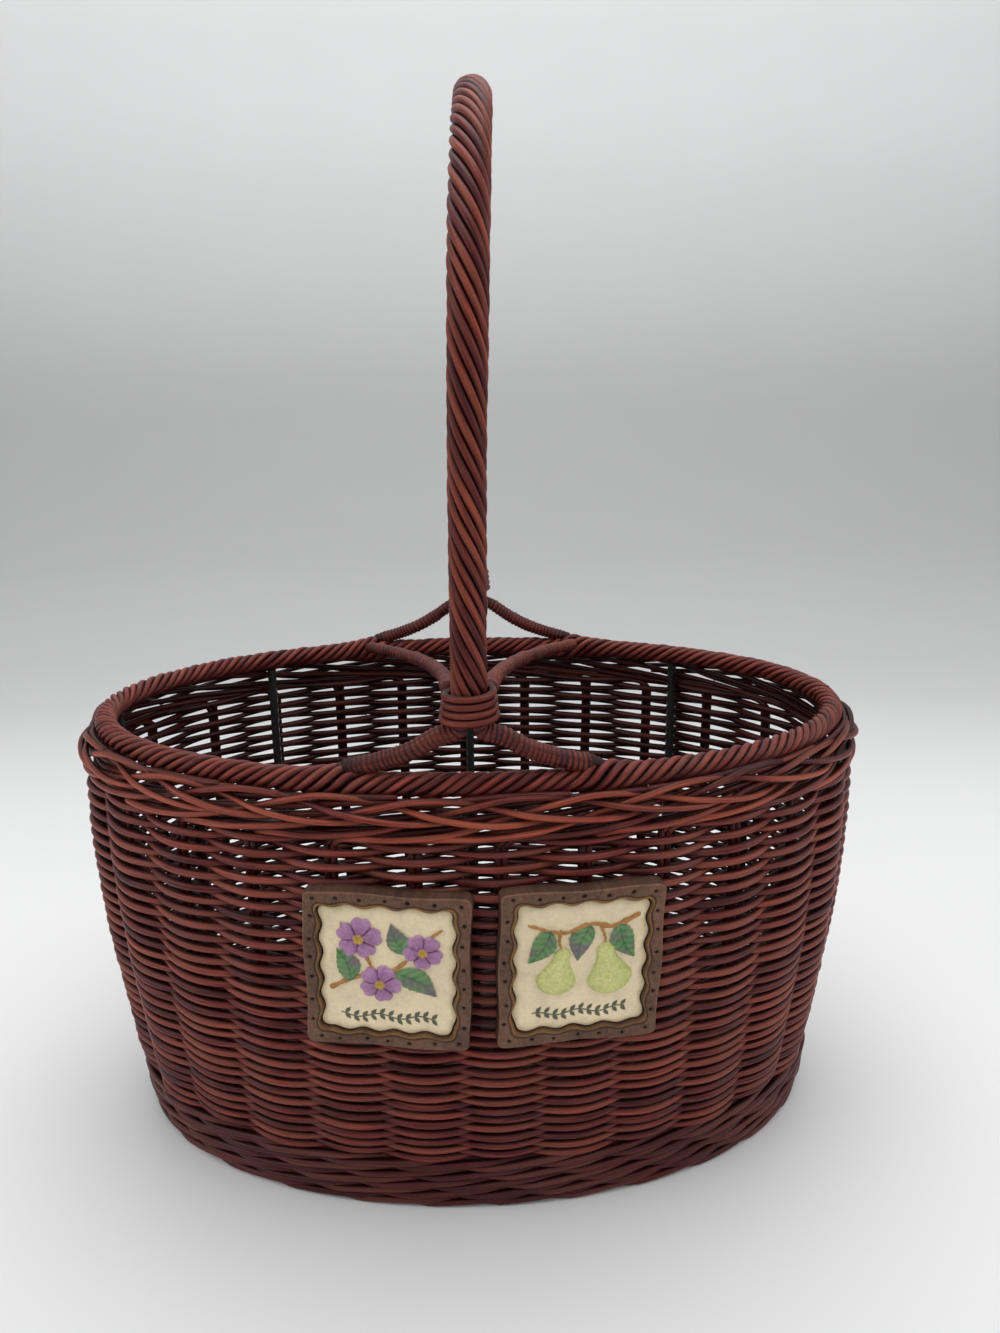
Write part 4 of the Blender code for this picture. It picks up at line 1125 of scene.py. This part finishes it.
def from_foot(x, y, foot_x, foot_y, angle, length):
    """Places measured from a foot: the share of the length along this angle, and how far across it."""
    c, s = math.cos(math.radians(angle)), math.sin(math.radians(angle))
    return ((x - foot_x) * c + (y - foot_y) * s) / length, (y - foot_y) * c - (x - foot_x) * s


def leaf(x, y, foot_x, foot_y, angle, length, half, seed):
    """A toothed leaf with a midrib and side veins."""
    t, d = from_foot(x, y, foot_x, foot_y, angle, length)
    clipped = np.clip(t, 0.0, 1.0)
    d = np.abs(d - 0.10 * length * np.sin(math.pi * clipped) * (1.0 if seed % 2 else -1.0))
    width = half * np.sin(math.pi * clipped ** 0.72) * (1.0 - 0.10 * np.abs(np.mod(t * 7.0, 1.0)))
    inside = soft_step(width - d, 0.0, 0.45) * (t > 0.0) * (t < 1.0)
    rib = 1.0 - soft_step(d, 0.10, 0.40)
    vein = 0.5 + 0.5 * np.cos(math.tau * (t * 6.0 - d / half * 1.1))
    up = 0.9 + 0.35 * np.clip(1.0 - d / np.maximum(width, 0.01), 0.0, 1.0) - 0.30 * rib - 0.16 * vein ** 3
    shade = 0.35 + 0.45 * (1.0 - vein) + speckle(seed, x, y, 2.0) * 0.35 + 0.2 * (d / half) - 0.35 * rib
    blush = np.clip(speckle(seed + 1, x, y, 4.0) * 0.9 + 0.15, 0.0, 0.75)
    return inside * up, inside, blend(blend(*LEAF_GREENS, shade), LEAF_BLUSH, blush)


def twig(x, y, points, thick, seed):
    """A knotty twig along the given points."""
    line = smooth_line([(*v, 0.0) for v in points], 80)[:, :2]
    away, along = np.full(x.shape, 99.0), np.zeros(x.shape)
    for i, (a, b) in enumerate(zip(line[:-1], line[1:])):
        run = b - a
        t = np.clip(((x - a[0]) * run[0] + (y - a[1]) * run[1]) / run.dot(run), 0.0, 1.0)
        far = np.hypot(x - a[0] - run[0] * t, y - a[1] - run[1] * t)
        nearer = far < away
        away, along = np.where(nearer, far, away), np.where(nearer, (i + t) / 80.0, along)
    half = thick * (1.0 - 0.45 * along) * (1.0 + 0.16 * np.sin(along * 31.0 + seed) + 0.10 * np.sin(along * 67.0))
    inside = 1.0 - soft_step(away, half - 0.22, half)
    dome = np.sqrt(np.clip(1.0 - (away / half) ** 2, 0.0, 1.0))
    # Painted shade down the twig's sides, lighter on its top
    shade = 0.25 + 0.7 * dome + speckle(seed, x, y, 0.9) * 0.3
    return 1.15 * dome * inside, inside, blend(*TWIG_BROWNS, shade)


def blossom(x, y, centre_x, centre_y, radius, turn, seed):
    """Five notched petals round a button."""
    dx, dy = x - centre_x, y - centre_y
    far, angle = np.hypot(dx, dy), np.arctan2(dy, dx) + turn
    petal = np.abs(np.cos(2.5 * angle))
    edge = radius * (0.66 + 0.34 * petal ** 0.55 - 0.10 * petal ** 14)
    inside = 1.0 - soft_step(far, edge - 0.35, edge)
    split = soft_step(petal, 0.0, 0.34)
    up = inside * (0.55 + 0.95 * split * np.sin(math.pi * np.clip(far / edge, 0.0, 1.0) ** 0.8))
    shade = 0.15 + 0.8 * (far / radius) * split + speckle(seed, x, y, 0.8) * 0.22
    button = 1.0 - soft_step(far, radius * 0.16, radius * 0.26)
    return up + button * 0.7, inside, blend(blend(*MAUVES, shade), BUTTON_YELLOW, button)


def pear(x, y, foot_x, foot_y, angle, length, seed):
    """A plump pear, its stalk end at the given place."""
    t, d = from_foot(x, y, foot_x, foot_y, angle, length)
    clipped = np.clip(t, 0.0, 1.0)
    width = length * (0.16 * np.sqrt(np.clip(clipped * 8.0, 0.0, 1.0)) + 0.24 * soft_step(clipped, 0.2, 0.75))
    width = width * np.sqrt(1.0 - np.clip((clipped - 0.62) / 0.38, 0.0, 1.0) ** 2)
    inside = soft_step(width - np.abs(d), 0.0, 0.4) * (t > 0.0) * (t < 1.0)
    dome = np.sqrt(np.clip(1.0 - (d / np.maximum(width, 0.01)) ** 2, 0.0, 1.0))
    up = inside * (0.4 + 1.55 * dome * np.clip(width / (length * 0.4), 0.2, 1.0))
    # A painted highlight on the pear's middle, with painted shade towards its outline and on one side
    shade = 0.15 + 0.65 * dome + speckle(seed, x, y, 0.7) * 0.25 - 0.15 * (d / length) + 0.1 * clipped
    return up, inside, blend(*PEAR_GREENS, shade)


def garland(x, y, low, seed):
    """A painted vine with plump leaves on both sides along the foot of a panel."""
    slope = 0.36 * np.cos(x * 0.40 + seed)
    away = np.abs(y - low - 0.9 * np.sin(x * 0.40 + seed)) / np.sqrt(1.0 + slope ** 2)
    ink = (1.0 - soft_step(away, 0.20, 0.42)) * (np.abs(x) < 18.0)
    for k in range(-5, 6):
        foot = k * 3.3
        for tilt in (52.0, -52.0):
            t, d = from_foot(x, y, foot, low + 0.9 * math.sin(foot * 0.40 + seed), tilt, 3.5)
            width = 0.95 * np.sin(math.pi * np.clip(t, 0.0, 1.0) ** 0.8)
            ink = np.maximum(ink, soft_step(width - np.abs(d), -0.05, 0.25) * (t > 0.02) * (t < 1.0))
    return ink


# The relief of each panel, from the back forwards
MOTIFS = {
    "left": ((twig, ((-21.0, -8.0), (-12.0, -3.0), (-3.0, -2.0), (6.0, 4.0), (13.0, 13.0), (20.0, 19.0)), 1.15, 3),
             (twig, ((-5.0, -1.5), (-8.0, 6.0), (-15.0, 14.0), (-17.0, 20.0)), 0.9, 5),
             (leaf, 3.0, 0.0, -32.0, 18.5, 5.6, 21),
             (leaf, -13.5, -4.5, 112.0, 15.0, 5.0, 22),
             (leaf, 8.5, 8.0, 118.0, 15.0, 4.8, 23),
             (blossom, 13.4, 9.6, 8.0, 0.4, 31),
             (blossom, -10.4, 13.8, 9.2, 1.1, 32),
             (blossom, -2.8, -5.2, 8.6, 0.1, 33)),
    "right": ((twig, ((21.0, 20.5), (12.0, 16.5), (3.0, 18.0), (-7.0, 15.0), (-20.0, 19.0)), 1.2, 4),
              (twig, ((7.0, 17.0), (9.0, 11.0), (8.0, 8.5)), 0.75, 6),
              (twig, ((-8.0, 15.5), (-8.5, 11.0), (-7.0, 7.0)), 0.75, 7),
              (leaf, 3.0, 17.5, -106.0, 16.0, 5.0, 24),
              (leaf, -12.0, 16.5, -122.0, 16.0, 5.2, 25),
              (leaf, 14.0, 17.5, -66.0, 17.0, 5.2, 26),
              (pear, 8.6, 9.8, -80.0, 23.0, 35),
              (pear, -6.6, 8.6, -101.0, 20.5, 36)),
}
GARLAND_LEVEL = -20.0


def plaque_panel(seed, word, cream):
    """The cream panel, its relief modelled in the same cast and painted."""
    u, v = np.meshgrid(*[np.linspace(-1.0, 1.0, PANEL_POINTS)] * 2, indexing="ij")
    far = np.maximum(np.maximum(np.abs(u), np.abs(v)), 1e-6)
    half = PLAQUE_HALF - (PLAQUE_BORDER + PANEL_ROOM)
    edge = np.stack([u / far, v / far], axis=-1)
    # The square net is pressed towards the wavy outline, the more so near it
    outline = wavy_edge(half, INNER_CORNER, np.linspace(0.0, 1.0, 2401)[:-1], *INNER_WAVES, seed * 1.7)
    turn = np.arctan2(outline[:, 1] / half[1], outline[:, 0] / half[0])
    want = np.arctan2(edge[..., 1], edge[..., 0])
    rim = np.stack([np.interp(want, turn, values, period=math.tau) for values in outline.T], axis=-1)
    hold = (far ** 7)[..., None]
    flat = (edge * half * (1.0 - hold) + rim * hold) * far[..., None]
    x, y = np.moveaxis(flat, -1, 0) * 1000.0
    up = speckle(seed + 1, x, y, 5.0) * 0.12 + speckle(seed + 2, x, y, 1.3) * 0.05
    stain = np.clip(0.5 + speckle(seed + 3, x, y, 7.0) * 0.35 + speckle(seed + 4, x, y, 1.6) * 0.25, 0.0, 1.0)
    # Painted shade towards the edge, where the panel meets the higher frame, with random darker patches
    wear_and_painted_light = soft_step(far, 0.90, 1.0) * 0.35 + np.clip(speckle(seed + 5, x, y, 3.0) - 0.55, 0.0, 1.0) * 0.35
    paint = blend(np.array(cream) * (0.88 + 0.14 * stain)[..., None], WORN_AND_SHADED_CREAM, wear_and_painted_light)
    paint = blend(paint, VINE_DARK, garland(x, y, GARLAND_LEVEL, seed) * 0.9)
    for draw, *values in MOTIFS[word]:
        height, inside, colour = draw(x, y, *values)
        shadow = 0.62 + 0.38 * soft_step(inside, 0.25, 0.85)
        paint = blend(paint, colour * shadow[..., None], inside * 1.4)
        up = np.maximum(up, height)
    z = PANEL_THICK + up / 1000.0 - 0.0004 * far ** 24
    bm = painted_sheet(np.dstack([flat, z]), paint)
    border = [edge for edge in bm.edges if edge.is_boundary]
    for item in bmesh.ops.extrude_edge_only(bm, edges=border)["geom"]:
        if isinstance(item, bmesh.types.BMVert):
            item.co.z = 0.0
    return bm


class BASKET_OT_plaques(bpy.types.Operator):
    """Cast the two plaques on the front of the wall: a brown frame and a cream panel with relief in each"""
    bl_idname = "basket.plaques"
    bl_label = "Plaques"

    def execute(self, context):
        c = colours()
        brown = painted_resin("brown painted resin", 0.55, 0.25, 900.0)
        cream = painted_resin("cream painted resin", 0.50, 0.20, 700.0)
        for word, seed in (("left", 3), ("right", 8)):
            for bm, part, slot, material in ((plaque_frame(seed, c.resin, c.ochre), "frame", "resin_brown", brown),
                                             (plaque_panel(seed, word, c.cream), "panel", "resin_cream", cream)):
                bm.transform(plaque_place(word))
                close(bm)
                piece(bm, "%s_%s_cast" % (part, word), material, ("plaque_%s_%s" % (part, word),))
        return {"FINISHED"}


STEPS = (BASKET_OT_stage, BASKET_OT_wall, BASKET_OT_stakes, BASKET_OT_foot, BASKET_OT_base, BASKET_OT_border,
         BASKET_OT_rope, BASKET_OT_handle, BASKET_OT_collars, BASKET_OT_legs, BASKET_OT_wires, BASKET_OT_plaques)


class BASKET_PT_panel(bpy.types.Panel):
    """The basket's sizes, colours and steps"""
    bl_idname = "BASKET_PT_panel"
    bl_label = "Wine basket"
    bl_space_type = "VIEW_3D"
    bl_region_type = "UI"
    bl_category = "Basket"

    def draw(self, context):
        for title, group in (("Sizes", sizes()), ("Colours", colours())):
            box = self.layout.box()
            box.label(text=title)
            for name in group.__annotations__:
                box.prop(group, name)
        column = self.layout.column(align=True)
        for step in STEPS:
            column.operator(step.bl_idname)


CLASSES = (BasketSizes, BasketColours, *STEPS, BASKET_PT_panel)


def register():
    for cls in CLASSES:
        bpy.utils.register_class(cls)
    bpy.types.Scene.basket_sizes = bpy.props.PointerProperty(type=BasketSizes)
    bpy.types.Scene.basket_colours = bpy.props.PointerProperty(type=BasketColours)


def unregister():
    del bpy.types.Scene.basket_colours
    del bpy.types.Scene.basket_sizes
    for cls in reversed(CLASSES):
        bpy.utils.unregister_class(cls)


def main():
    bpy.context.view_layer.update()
    register()
    for step in STEPS:
        group, name = step.bl_idname.split(".")
        getattr(getattr(bpy.ops, group), name)()


if __name__ == "__main__":
    main()
